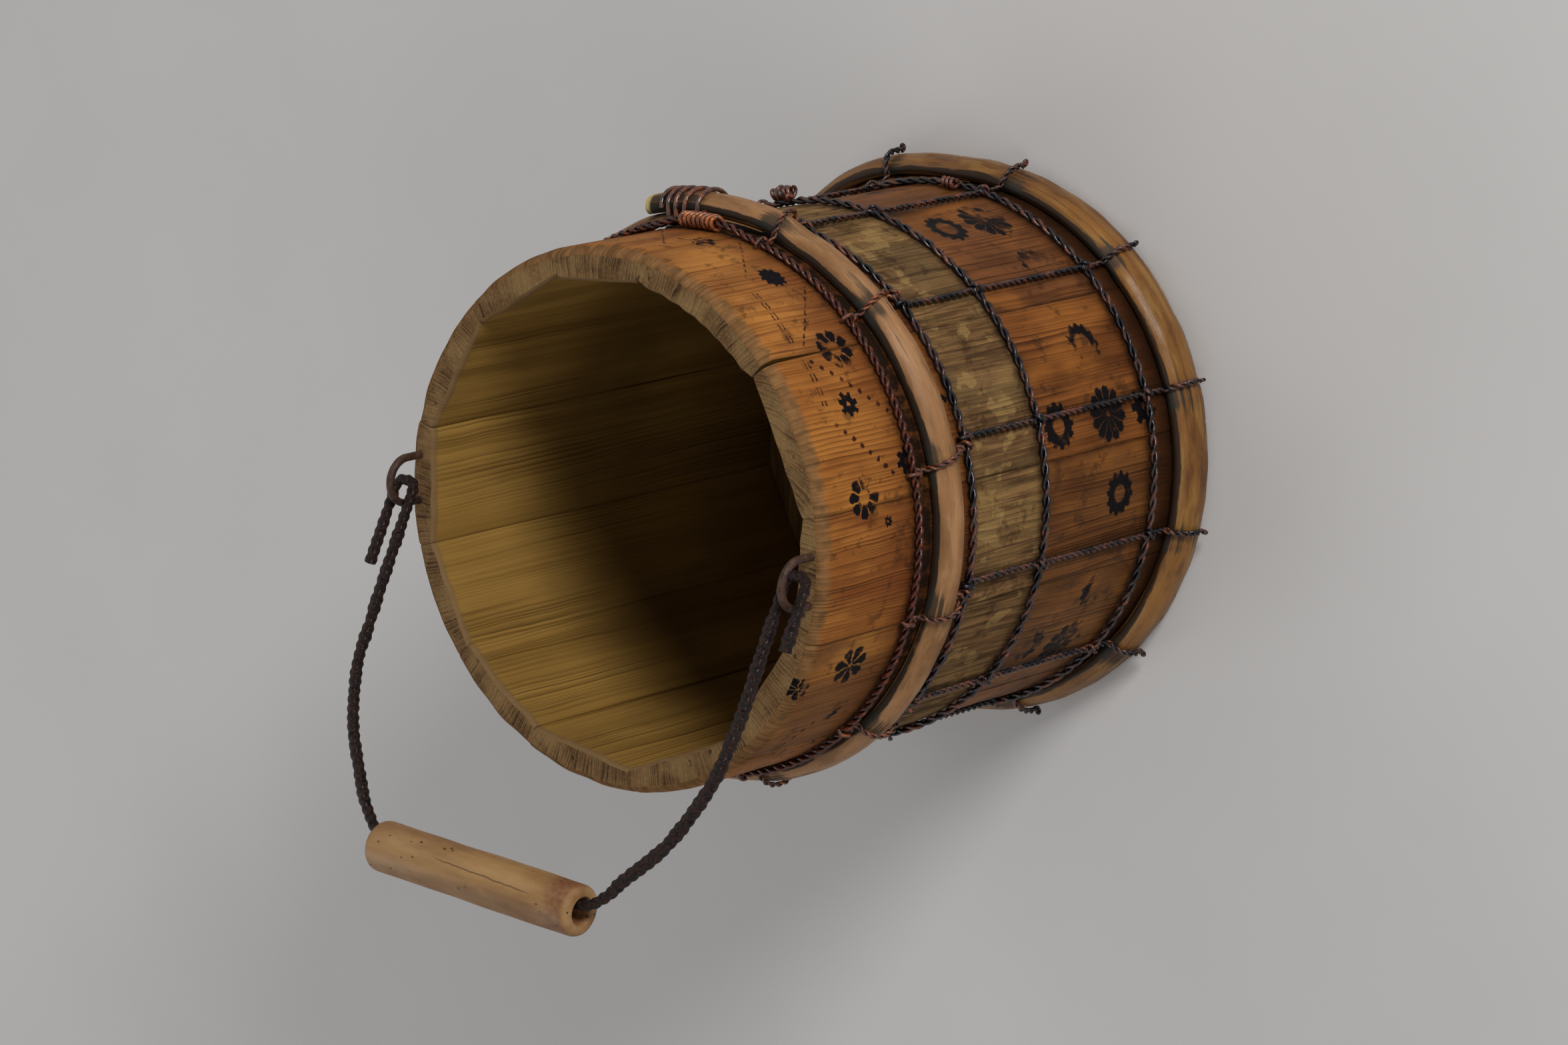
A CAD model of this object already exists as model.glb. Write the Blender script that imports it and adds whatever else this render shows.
"""The looks of an old coopered wooden bucket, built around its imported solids.

The bucket stands on z = 0 with its mouth up and its axis along Z. Its staples lie on the line X and
its bail leans towards -Y. Dataclass fields that are sizes are in millimetres and degrees; meshes and
shaders are in metres. Every wall pattern reads a UV map whose U is the arc round the wall and whose V
is the height, both in metres, so that marks and wear keep their real sizes.
"""
import logging
import math
from dataclasses import dataclass, field
from enum import Enum
from typing import Callable, Sequence

import bpy
import numpy as np
from mathutils import Matrix, Vector


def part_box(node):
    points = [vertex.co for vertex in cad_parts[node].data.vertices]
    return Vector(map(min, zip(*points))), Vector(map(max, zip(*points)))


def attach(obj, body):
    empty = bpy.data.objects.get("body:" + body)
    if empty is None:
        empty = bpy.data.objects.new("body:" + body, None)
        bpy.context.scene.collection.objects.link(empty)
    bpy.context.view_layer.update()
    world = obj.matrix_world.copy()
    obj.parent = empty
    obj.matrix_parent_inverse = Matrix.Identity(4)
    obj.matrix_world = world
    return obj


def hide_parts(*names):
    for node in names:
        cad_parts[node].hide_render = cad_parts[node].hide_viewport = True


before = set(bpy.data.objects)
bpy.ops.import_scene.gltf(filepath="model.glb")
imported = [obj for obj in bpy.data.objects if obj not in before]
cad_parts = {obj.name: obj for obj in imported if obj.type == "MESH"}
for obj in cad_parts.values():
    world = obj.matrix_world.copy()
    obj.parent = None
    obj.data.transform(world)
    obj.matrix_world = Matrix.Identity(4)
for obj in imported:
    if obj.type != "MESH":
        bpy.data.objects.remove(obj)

LOG = logging.getLogger("bucket")
MM = 0.001
WALL_MAP = "wall"
SOIL = "soil"
Array = np.ndarray
Colour = tuple[float, float, float, float]
Socket = bpy.types.NodeSocket


def colour(code: str, share: float = 1.0) -> Colour:
    """Turn a written colour into scene-linear values.

    Args:
        code: Six hexadecimal digits, as a paint chart gives them.
        share: A factor on the result, to darken or lighten it.

    Returns:
        Linear red, green, blue and an alpha of 1.
    """
    parts = [int(code[i:i + 2], 16) / 255 for i in (0, 2, 4)]
    linear = [p / 12.92 if p <= 0.04045 else ((p + 0.055) / 1.055) ** 2.4 for p in parts]
    return (*(share * p for p in linear), 1.0)


def smooth(x: Array | float) -> Array:
    """Ease from 0 to 1 as x goes from 0 to 1."""
    c = np.clip(x, 0.0, 1.0)
    return c * c * (3 - 2 * c)


def ripple(x: Array, y: Array, size: float, seed: int, count: int = 8) -> Array:
    """Smooth unevenness over a surface.

    Args:
        x: First coordinate of each point.
        y: Second coordinate of each point.
        size: Typical distance between two humps, in the units of x and y.
        seed: Fixed seed for the directions and phases.
        count: Number of waves that are added up.

    Returns:
        Values between about -1 and 1.
    """
    rng = np.random.default_rng(seed)
    total = np.zeros(np.broadcast(x, y).shape)
    for _ in range(count):
        turn, phase = rng.uniform(0, 2 * math.pi, 2)
        rate = 2 * math.pi / (size * rng.uniform(0.7, 1.6))
        total = total + np.sin(rate * (np.cos(turn) * x + np.sin(turn) * y) + phase)
    return total / math.sqrt(count) / 1.2


class NodeSheet:
    """A node tree that is being filled, with short calls for the nodes that the finishes use."""

    def __init__(self, tree: bpy.types.NodeTree) -> None:
        """Keep the tree that the calls below add nodes to."""
        self.tree = tree

    def add(self, kind: str, inputs: dict | None = None, **settings: object) -> bpy.types.Node:
        """Add a node.

        Args:
            kind: Blender's name for the type of node.
            inputs: A socket or a plain value for each input, by name or number.
            settings: Properties of the node itself.

        Returns:
            The new node.
        """
        node = self.tree.nodes.new(kind)
        for key, value in settings.items():
            setattr(node, key, value)
        for key, value in (inputs or {}).items():
            self.feed(node.inputs[key], value)
        return node

    def feed(self, socket: Socket, value: object) -> None:
        """Link a socket, or set it where value is a plain one."""
        if isinstance(value, bpy.types.NodeSocket):
            self.tree.links.new(value, socket)
        elif value is not None:
            socket.default_value = value

    def calc(self, operation: str, *terms: object, clamp: bool = False) -> Socket:
        """Do arithmetic on values.

        Args:
            operation: The Math node's operation.
            terms: Up to three sockets or numbers.
            clamp: Whether the result is kept between 0 and 1.

        Returns:
            The result's socket.
        """
        inputs = dict(enumerate(terms))
        return self.add("ShaderNodeMath", inputs, operation=operation, use_clamp=clamp).outputs[0]

    def product(self, *terms: object) -> Socket:
        """Multiply any number of values."""
        total = terms[0]
        for term in terms[1:]:
            total = self.calc("MULTIPLY", total, term)
        return total

    def most(self, *terms: object) -> Socket:
        """Take the largest of any number of values."""
        total = terms[0]
        for term in terms[1:]:
            total = self.calc("MAXIMUM", total, term)
        return total

    def vector(self, operation: str, *terms: object) -> Socket:
        """Do arithmetic on vectors, and give a length or a dot product as a value."""
        node = self.add("ShaderNodeVectorMath", dict(enumerate(terms)), operation=operation)
        return node.outputs["Value" if operation in ("LENGTH", "DOT_PRODUCT", "DISTANCE") else "Vector"]

    def split(self, vector: object) -> tuple[Socket, Socket, Socket]:
        """Give the three parts of a vector."""
        node = self.add("ShaderNodeSeparateXYZ", {0: vector})
        return node.outputs[0], node.outputs[1], node.outputs[2]

    def join(self, x: object, y: object, z: object = 0.0) -> Socket:
        """Make a vector from its three parts."""
        return self.add("ShaderNodeCombineXYZ", {0: x, 1: y, 2: z}).outputs[0]

    def stretch(self, vector: object, scale: Sequence[float], shift: Sequence[float] = (0, 0, 0)) -> Socket:
        """Scale a vector along each axis, after a shift."""
        moved = self.vector("ADD", vector, tuple(shift)) if any(shift) else vector
        return self.vector("MULTIPLY", moved, tuple(scale))

    def noise(self, vector: object, scale: float, detail: float = 3.0, rough: float = 0.5,
              distortion: float = 0.0) -> Socket:
        """Soft noise between 0 and 1 at a given number of cells to the unit."""
        inputs = {"Vector": vector, "Scale": scale, "Detail": detail, "Roughness": rough,
                  "Distortion": distortion}
        return self.add("ShaderNodeTexNoise", inputs).outputs[0]

    def cells(self, vector: object, scale: float) -> Socket:
        """Distance to the nearest of scattered points, at a number of points to the unit."""
        return self.add("ShaderNodeTexVoronoi", {"Vector": vector, "Scale": scale}).outputs["Distance"]

    def fit(self, value: object, low: object, high: object, to_low: object = 0.0, to_high: object = 1.0,
            kind: str = "SMOOTHSTEP") -> Socket:
        """Map a value from one range to another, clamped and by default eased at both ends."""
        inputs = {"Value": value, "From Min": low, "From Max": high, "To Min": to_low, "To Max": to_high}
        return self.add("ShaderNodeMapRange", inputs, interpolation_type=kind).outputs[0]

    def ramp(self, value: object, stops: Sequence[tuple[float, Colour]]) -> Socket:
        """Colour a value by a row of stops."""
        node = self.add("ShaderNodeValToRGB", {0: value})
        elements = node.color_ramp.elements
        while len(elements) < len(stops):
            elements.new(0.5)
        for element, (place, tint) in zip(elements, stops):
            element.position = place
            element.color = tint
        return node.outputs[0]

    def blend(self, share: object, a: object, b: object, mode: str = "MIX") -> Socket:
        """Mix two colours."""
        node = self.add("ShaderNodeMix", data_type="RGBA", blend_type=mode)
        self.feed(node.inputs[0], share)
        self.feed(node.inputs[6], a)
        self.feed(node.inputs[7], b)
        return node.outputs[2]

    def blend_vector(self, share: object, a: object, b: object) -> Socket:
        """Mix two vectors."""
        node = self.add("ShaderNodeMix", data_type="VECTOR", factor_mode="UNIFORM", clamp_factor=True)
        self.feed(node.inputs[0], share)
        self.feed(node.inputs[4], a)
        self.feed(node.inputs[5], b)
        return node.outputs[1]

    def shaken(self, vector: object, size: float, reach: float) -> Socket:
        """Move a vector about by soft noise, up to half of reach in X and Y."""
        noise = self.add("ShaderNodeTexNoise", {"Vector": vector, "Scale": 1.0 / size, "Detail": 2.0})
        centred = self.vector("SUBTRACT", noise.outputs["Color"], (0.5, 0.5, 0.5))
        return self.vector("ADD", vector, self.stretch(centred, (2 * reach, 2 * reach, 0.0)))

    def attribute(self, name: str) -> Socket:
        """Read a value that is stored on the mesh."""
        return self.add("ShaderNodeAttribute", attribute_name=name).outputs["Fac"]

    def wall_map(self) -> Socket:
        """Read the wall's map: arc, height and nothing."""
        return self.add("ShaderNodeUVMap", uv_map=WALL_MAP).outputs[0]

    def place(self) -> Socket:
        """Read the place in the bucket's own frame."""
        return self.add("ShaderNodeTexCoord").outputs["Object"]

    def effect(self, group: "Effect", **inputs: object) -> bpy.types.Node:
        """Place a shared effect, with its own values; an underscore in a name stands for a space."""
        named = {key.replace("_", " "): value for key, value in inputs.items()}
        node = self.tree.nodes.new(group.node_kind)
        node.node_tree = group.tree
        for key, value in named.items():
            self.feed(node.inputs[key], value)
        return node


class Effect(NodeSheet):
    """A node group that is being built, with named inputs and outputs."""

    KINDS = {"value": "NodeSocketFloat", "vector": "NodeSocketVector", "colour": "NodeSocketColor",
             "count": "NodeSocketInt", "material": "NodeSocketMaterial", "shape": "NodeSocketGeometry"}

    def __init__(self, name: str, inputs: dict[str, tuple[str, object]], outputs: dict[str, str],
                 tree_kind: str = "ShaderNodeTree") -> None:
        """Open the group.

        Args:
            name: The group's name.
            inputs: For each input its kind and its usual value, or None.
            outputs: The kind of each output.
            tree_kind: Blender's name for the kind of tree.
        """
        super().__init__(bpy.data.node_groups.new(name, tree_kind))
        self.node_kind = "ShaderNodeGroup" if tree_kind == "ShaderNodeTree" else "GeometryNodeGroup"
        for key, (kind, usual) in inputs.items():
            item = self.tree.interface.new_socket(key, in_out="INPUT", socket_type=self.KINDS[kind])
            if usual is not None:
                item.default_value = usual
        for key, kind in outputs.items():
            self.tree.interface.new_socket(key, in_out="OUTPUT", socket_type=self.KINDS[kind])
        self.given = self.tree.nodes.new("NodeGroupInput")
        self.result = self.tree.nodes.new("NodeGroupOutput")

    def get(self, name: str) -> Socket:
        """The socket of one of the group's inputs."""
        return self.given.outputs[name]

    def put(self, name: str, value: object) -> None:
        """Set one of the group's outputs."""
        self.feed(self.result.inputs[name], value)


class Effects:
    """The effects that several finishes share, each built once."""

    def __init__(self) -> None:
        """Build every shared group."""
        self.grain = self.build_grain()
        self.stamp = self.build_stamp()
        self.nearer_stamp = self.build_nearer("nearer stamp", ("Iron", "Wear"), self.measure_round)
        self.dashes = self.build_dashes()
        self.nearer_row = self.build_nearer("nearer row", ("Stroke", "Pair"), self.measure_row)
        self.rust = self.build_rust()

    @staticmethod
    def build_grain() -> Effect:
        """Growth rings cut lengthwise: gradual darkening up to a sharp dark line, and finer fibres.

        Returns:
            The group, whose Vector runs across the grain in X and along it in Y, in metres.
        """
        e = Effect("wood grain", {"Vector": ("vector", None), "Seed": ("value", 0.0),
                                  "Ring Width": ("value", 0.0018), "Wander": ("value", 0.006),
                                  "Length": ("value", 0.12)},
                   {"Rings": "value", "Fibre": "value", "Broad": "value"})
        x, y, _ = e.split(e.get("Vector"))
        seed = e.get("Seed")
        far = e.calc("DIVIDE", y, e.get("Length"))
        slow = e.noise(e.join(e.calc("MULTIPLY", x, 9.0), far, seed), 1.0, 2.0)
        wave = e.noise(e.join(e.calc("MULTIPLY", x, 55.0), e.calc("MULTIPLY", y, 30.0), seed), 1.0, 1.0)
        bent = e.calc("MULTIPLY_ADD", slow, e.get("Wander"), e.calc("MULTIPLY_ADD", wave, 0.0018, x))
        uneven = e.noise(e.join(e.calc("MULTIPLY", bent, 110.0), e.calc("MULTIPLY", far, 0.25), seed), 1.0, 1.0)
        fine = e.noise(e.join(e.calc("MULTIPLY", x, 300.0), e.calc("MULTIPLY", far, 3.0), seed), 1.0, 2.0)
        count = e.calc("MULTIPLY_ADD", uneven, 6.0, e.calc("DIVIDE", bent, e.get("Ring Width")))
        count = e.calc("MULTIPLY_ADD", fine, 0.35, count)
        part = e.calc("FRACT", count)
        late = e.calc("POWER", part, 1.6)
        edge = e.fit(part, 0.82, 1.0, 1.0, 0.0)
        which = e.calc("FLOOR", count)
        strength = e.add("ShaderNodeTexWhiteNoise", {"Vector": e.join(which, seed)},
                         noise_dimensions="2D").outputs["Value"]
        patch = e.noise(e.join(e.calc("MULTIPLY", x, 70.0), e.calc("MULTIPLY", far, 2.2), seed), 1.0, 2.0)
        rings = e.product(late, edge, 1.5, e.fit(strength, 0.0, 1.0, 0.35, 1.0),
                          e.fit(patch, 0.3, 0.62, 0.4, 1.0))
        e.put("Rings", e.calc("MINIMUM", rings, 1.0))
        across = e.calc("MULTIPLY", bent, 1900.0)
        e.put("Fibre", e.noise(e.join(across, e.calc("MULTIPLY", y, 45.0), seed), 1.0, 4.0, 0.65))
        e.put("Broad", e.noise(e.join(e.calc("MULTIPLY", x, 75.0), e.calc("MULTIPLY", far, 0.8), seed), 1.0, 3.0))
        return e

    @staticmethod
    def build_nearer(name: str, fields: Sequence[str], measure: Callable[[Effect], tuple[Socket, Socket]]) -> Effect:
        """A step that keeps the nearer of two marks: the one found so far, or its own.

        Args:
            name: The group's name.
            fields: Names of the vectors that go with a mark.
            measure: Gives the own mark's local place, and its distance, inside the group.

        Returns:
            The group, whose Best outputs feed the next step.
        """
        own = {"Vector": ("vector", None), "Centre": ("vector", (0, 0, 0)), "Along": ("vector", (1, 0, 0)),
               "Size": ("value", 0.01), "Best Place": ("vector", (9, 9, 9))}
        for key in fields:
            own[key] = ("vector", (0, 0, 0))
            own["Best " + key] = ("vector", (0, 0, 0))
        e = Effect(name, own, {"Best Place": "vector", **{"Best " + key: "vector" for key in fields}})
        place, distance = measure(e)
        _, _, best = e.split(e.get("Best Place"))
        nearer = e.calc("LESS_THAN", distance, best)
        e.put("Best Place", e.blend_vector(nearer, e.get("Best Place"), place))
        for key in fields:
            e.put("Best " + key, e.blend_vector(nearer, e.get("Best " + key), e.get(key)))
        return e

    @staticmethod
    def measure_round(e: Effect) -> tuple[Socket, Socket]:
        """Place within a round stamp, in radii, and distance from its middle."""
        local = e.vector("SUBTRACT", e.get("Vector"), e.get("Centre"))
        x, y, _ = e.split(local)
        x, y = e.calc("DIVIDE", x, e.get("Size")), e.calc("DIVIDE", y, e.get("Size"))
        distance = e.vector("LENGTH", e.join(x, y))
        return e.join(x, y, distance), distance

    @staticmethod
    def measure_row(e: Effect) -> tuple[Socket, Socket]:
        """Place along and beside a row, in metres, and distance from it."""
        local = e.vector("SUBTRACT", e.get("Vector"), e.get("Centre"))
        along = e.vector("DOT_PRODUCT", local, e.get("Along"))
        ax, ay, _ = e.split(e.get("Along"))
        side = e.vector("DOT_PRODUCT", local, e.join(e.calc("MULTIPLY", ay, -1.0), ax))
        past = e.calc("MAXIMUM", e.calc("MULTIPLY", along, -1.0), e.calc("SUBTRACT", along, e.get("Size")))
        distance = e.calc("MAXIMUM", e.calc("ABSOLUTE", side), past)
        return e.join(along, side, distance), distance

    @staticmethod
    def build_stamp() -> Effect:
        """A mark burnt in with a hot iron: petals or teeth round a middle that may stay open.

        Returns:
            The group, which gives the mark's strength, and how deeply it is charred.
        """
        e = Effect("burnt stamp", {"Vector": ("vector", None), "Place": ("vector", None), "Iron": ("vector", None),
                                   "Wear": ("vector", None)}, {"Mark": "value", "Char": "value"})
        x, y, distance = e.split(e.get("Place"))
        opening, petals, depth = e.split(e.get("Iron"))
        gap, turn, wear = e.split(e.get("Wear"))
        angle = e.calc("ADD", e.calc("ARCTAN2", y, x), turn)
        beat = e.calc("COSINE", e.calc("MULTIPLY", angle, petals))
        lobe = e.fit(beat, -1.0, 1.0, 0.0, 1.0, "LINEAR")
        tooth = e.fit(lobe, 0.25, 0.62)
        reach = e.calc("SUBTRACT", 1.0, e.calc("MULTIPLY", depth, e.calc("SUBTRACT", 1.0, tooth)))
        inside = e.fit(e.calc("SUBTRACT", reach, distance), -0.05, 0.06)
        middle = e.fit(e.calc("SUBTRACT", distance, opening), -0.05, 0.07)
        slit = e.fit(e.calc("SUBTRACT", lobe, gap), -0.05, 0.12)
        worn = e.noise(e.get("Vector"), 130.0, 4.0, 0.55)
        side = e.calc("SINE", e.calc("MULTIPLY_ADD", wear, 40.0, e.calc("ARCTAN2", y, x)))
        worn = e.calc("MULTIPLY_ADD", e.calc("MULTIPLY", side, wear), 0.35, worn)
        kept = e.fit(e.calc("SUBTRACT", worn, wear), 0.05, 0.16)
        e.put("Mark", e.product(inside, middle, slit, kept))
        e.put("Char", e.fit(e.calc("SUBTRACT", worn, wear), 0.06, 0.24))
        return e

    @staticmethod
    def build_dashes() -> Effect:
        """A straight row of short burnt strokes, single or in pairs.

        Returns:
            The group, which gives the strokes' strength from 0 to 1.
        """
        e = Effect("burnt dashes", {"Place": ("vector", None), "Stroke": ("vector", None), "Pair": ("vector", None)},
                   {"Mark": "value"})
        along, side, _ = e.split(e.get("Place"))
        pitch, stroke, thickness = e.split(e.get("Stroke"))
        apart, wear, length = e.split(e.get("Pair"))
        step = e.calc("DIVIDE", along, pitch)
        beside = e.calc("ABSOLUTE", e.calc("SUBTRACT", e.calc("FRACT", step), 0.5))
        reach = e.calc("SUBTRACT", e.calc("MULTIPLY", stroke, 0.5), e.calc("MULTIPLY", beside, pitch))
        line = e.calc("ABSOLUTE", e.calc("SUBTRACT", e.calc("ABSOLUTE", side), e.calc("MULTIPLY", apart, 0.5)))
        width = e.calc("SUBTRACT", e.calc("MULTIPLY", thickness, 0.5), line)
        soft = 0.0003
        strokes = e.product(e.fit(reach, -soft, soft), e.fit(width, -soft, soft))
        inside = e.product(e.fit(along, 0.0, soft), e.fit(along, length, e.calc("ADD", length, soft), 1.0, 0.0))
        each = e.add("ShaderNodeTexWhiteNoise", {"Vector": e.join(e.calc("FLOOR", step), length)},
                     noise_dimensions="2D").outputs["Value"]
        kept = e.fit(e.calc("SUBTRACT", each, wear), -0.25, 0.1, 0.45, 1.0)
        e.put("Mark", e.product(strokes, inside, kept))
        return e

    @staticmethod
    def build_rust() -> Effect:
        """Rust in patches and grains.

        Returns:
            The group, which gives the patches, the finer grains and a height.
        """
        e = Effect("rust", {"Vector": ("vector", None), "Patch": ("value", 90.0), "Grain": ("value", 1400.0),
                            "Amount": ("value", 0.5)},
                   {"Patches": "value", "Grains": "value", "Height": "value"})
        patch = e.add("ShaderNodeTexNoise", {"Vector": e.get("Vector"), "Scale": e.get("Patch"), "Detail": 5.0,
                                             "Roughness": 0.6}).outputs[0]
        grain = e.add("ShaderNodeTexNoise", {"Vector": e.get("Vector"), "Scale": e.get("Grain"), "Detail": 3.0,
                                             "Roughness": 0.7}).outputs[0]
        both = e.calc("MULTIPLY_ADD", e.calc("SUBTRACT", grain, 0.5), 0.45, patch)
        limit = e.calc("MULTIPLY_ADD", e.get("Amount"), -0.5, 0.75)
        patches = e.fit(both, e.calc("SUBTRACT", limit, 0.07), e.calc("ADD", limit, 0.07))
        e.put("Patches", patches)
        e.put("Grains", e.fit(grain, 0.35, 0.68))
        e.put("Height", e.product(e.calc("MULTIPLY_ADD", patches, 0.7, 0.3), grain))
        return e


@dataclass(frozen=True)
class Finish:
    """What every finish shares: a name, and a surface that its own dress method fills in."""

    name: str

    def material(self, effects: Effects) -> bpy.types.Material:
        """Make the material.

        Args:
            effects: The shared groups.

        Returns:
            The finished material.
        """
        found = bpy.data.materials.new(self.name)
        found.use_nodes = True
        found.node_tree.nodes.clear()
        sheet = NodeSheet(found.node_tree)
        surface = sheet.add("ShaderNodeBsdfPrincipled")
        output = sheet.add("ShaderNodeOutputMaterial")
        sheet.feed(output.inputs["Surface"], surface.outputs[0])
        self.dress(sheet, surface, effects)
        return found

    def dress(self, sheet: NodeSheet, surface: bpy.types.Node, effects: Effects) -> None:
        """Fill in the surface; each finish has its own."""
        raise NotImplementedError

    @staticmethod
    def bump(sheet: NodeSheet, surface: bpy.types.Node, height: Socket, depth: float) -> None:
        """Raise the surface by a height, of which 1 stands for depth in metres."""
        node = sheet.add("ShaderNodeBump", {"Height": height, "Strength": 1.0, "Distance": depth})
        sheet.feed(surface.inputs["Normal"], node.outputs[0])


class StampKind(Enum):
    """The irons that the marks were burnt with: open middle, petals, depth of the notches, gap between petals."""

    COG = (0.37, 12.0, 0.13, -0.2)
    WIDE_COG = (0.48, 12.0, 0.12, -0.2)
    WHEEL = (0.07, 12.0, 0.1, -0.02)
    LEAVES = (0.34, 8.0, 0.1, 0.06)
    PETALS = (0.1, 7.0, 0.12, 0.08)
    FLOWER = (0.17, 7.0, 0.3, -0.2)
    BLOT = (0.0, 11.0, 0.15, -0.2)


@dataclass(frozen=True)
class Stamp:
    """One burnt mark on the wall."""

    angle: float
    height: float
    radius: float
    kind: StampKind
    turn: float = 0.0
    wear: float = 0.25


@dataclass(frozen=True)
class DashRow:
    """A row of burnt strokes from one place on the wall to another."""

    start: tuple[float, float]
    end: tuple[float, float]
    pitch: float
    stroke: float
    thickness: float = 0.7
    apart: float = 0.0
    wear: float = 0.25


@dataclass(frozen=True)
class WallForm:
    """The driving sizes of the wall, as the solids have them, and what follows from them."""

    rim_r: float = 121.0
    base_r: float = 126.0
    joint_t: float = 11.5
    bevel_h: float = 6.0
    bevel_w: float = 4.0
    floor_z: float = 18.0
    floor_t: float = 13.0
    floor_edge_t: float = 7.0
    floor_bevel: float = 12.0
    croze_d: float = 4.5
    floor_fit: float = 0.2
    first_joint: float = 11.5
    arcs: tuple[float, ...] = (33, 39, 24, 28, 32, 28, 26, 27, 30, 33, 33, 27)
    extra: tuple[float, ...] = (0, 0.5, 2, 0.5, 0, 0.5, 0, 1, 0, 0, 0.5, 0)
    hollow: tuple[int, ...] = (1, 7)
    hollow_t: float = 14.0

    @property
    def height(self) -> float:
        """Height of the staves, read from the first of them."""
        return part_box("stave_01")[1].z / MM

    @property
    def mean_r(self) -> float:
        """The radius at which arcs on the wall's map are measured."""
        return (self.rim_r + self.base_r) / 2

    def radius(self, z: Array | float) -> Array | float:
        """Outer radius of the wall at a height."""
        return self.base_r - (self.base_r - self.rim_r) / self.height * z

    def joint(self, index: int) -> float:
        """Angle of the joint before a stave."""
        return self.first_joint + sum(self.arcs[:index])

    def arc(self, angle: Array | float) -> Array | float:
        """Length round the wall's map up to an angle, in metres."""
        return np.radians(angle) * self.mean_r * MM

    def point(self, angle: Array, z: Array, out: Array | float = 0.0) -> Array:
        """Points at an angle and height, a little outside the wall.

        Args:
            angle: Angles in degrees.
            z: Heights.
            out: Distances outside the wall.

        Returns:
            The points, in millimetres, along a new last axis.
        """
        r = self.radius(z) + out
        a = np.radians(angle)
        return np.stack(np.broadcast_arrays(r * np.cos(a), r * np.sin(a), z), axis=-1)

    def inner(self, index: int, angle: Array, z: Array) -> Array:
        """Radius of a stave's inner face: flat, or scooped in its middle, with the groove of the bottom."""
        half = self.arcs[index] / 2
        middle = self.joint(index) + half
        flat = (self.radius(z) - self.joint_t) * math.cos(math.radians(half)) - self.extra[index]
        face = flat / np.cos(np.radians(angle - middle))
        if index in self.hollow:
            face = np.maximum(face, self.radius(z) - self.hollow_t)
        groove_r = self.radius(self.floor_z) - self.joint_t + self.croze_d
        slope = self.floor_bevel / ((self.floor_t - self.floor_edge_t) / 2)
        above = np.minimum(z - self.floor_z + self.floor_fit, self.floor_z + self.floor_t + self.floor_fit - z)
        groove = np.minimum(groove_r + self.floor_fit, groove_r - self.floor_bevel + slope * above)
        return np.where(above > 0, np.maximum(face, groove), face)


FORM = WallForm()


def add_piece(name: str, mesh: bpy.types.Mesh, materials: Sequence[bpy.types.Material]) -> bpy.types.Object:
    """Put a mesh into the scene with its materials."""
    piece = bpy.data.objects.new(name, mesh)
    bpy.context.scene.collection.objects.link(piece)
    for material in materials:
        mesh.materials.append(material)
    return piece


def hand_over(piece: bpy.types.Object, body: str, slot: str, *nodes: str) -> None:
    """Say which body a piece rides on, which finish slot it has and which solids it stands for."""
    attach(piece, body)
    if nodes:
        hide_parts(*nodes)
    LOG.info("%s: %d faces for %s", piece.name, len(piece.data.polygons), ", ".join(nodes) or "itself")


def grid_faces(rows: int, columns: int, round_rows: bool, round_columns: bool) -> Array:
    """Corners of the faces between neighbouring points of a grid.

    Args:
        rows: Number of rows of points.
        columns: Number of points in a row.
        round_rows: Whether the last row joins the first.
        round_columns: Whether each row's last point joins its first.

    Returns:
        Four point numbers for each face, row by row.
    """
    i, j = np.meshgrid(np.arange(rows if round_rows else rows - 1),
                       np.arange(columns if round_columns else columns - 1), indexing="ij")
    k, m = (i + 1) % rows, (j + 1) % columns
    return np.stack([i * columns + j, i * columns + m, k * columns + m, k * columns + j], axis=-1).reshape(-1, 4)


def set_map(mesh: bpy.types.Mesh, flat: Array) -> None:
    """Give a mesh its wall map, from one pair of metres for each corner."""
    layer = mesh.uv_layers.new(name=WALL_MAP)
    layer.uv.foreach_set("vector", flat.astype(np.float32).ravel())


def set_value(mesh: bpy.types.Mesh, name: str, values: Array) -> None:
    """Store a value on each vertex of a mesh."""
    mesh.attributes.new(name, "FLOAT", "POINT").data.foreach_set("value", values.astype(np.float32).ravel())


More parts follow.
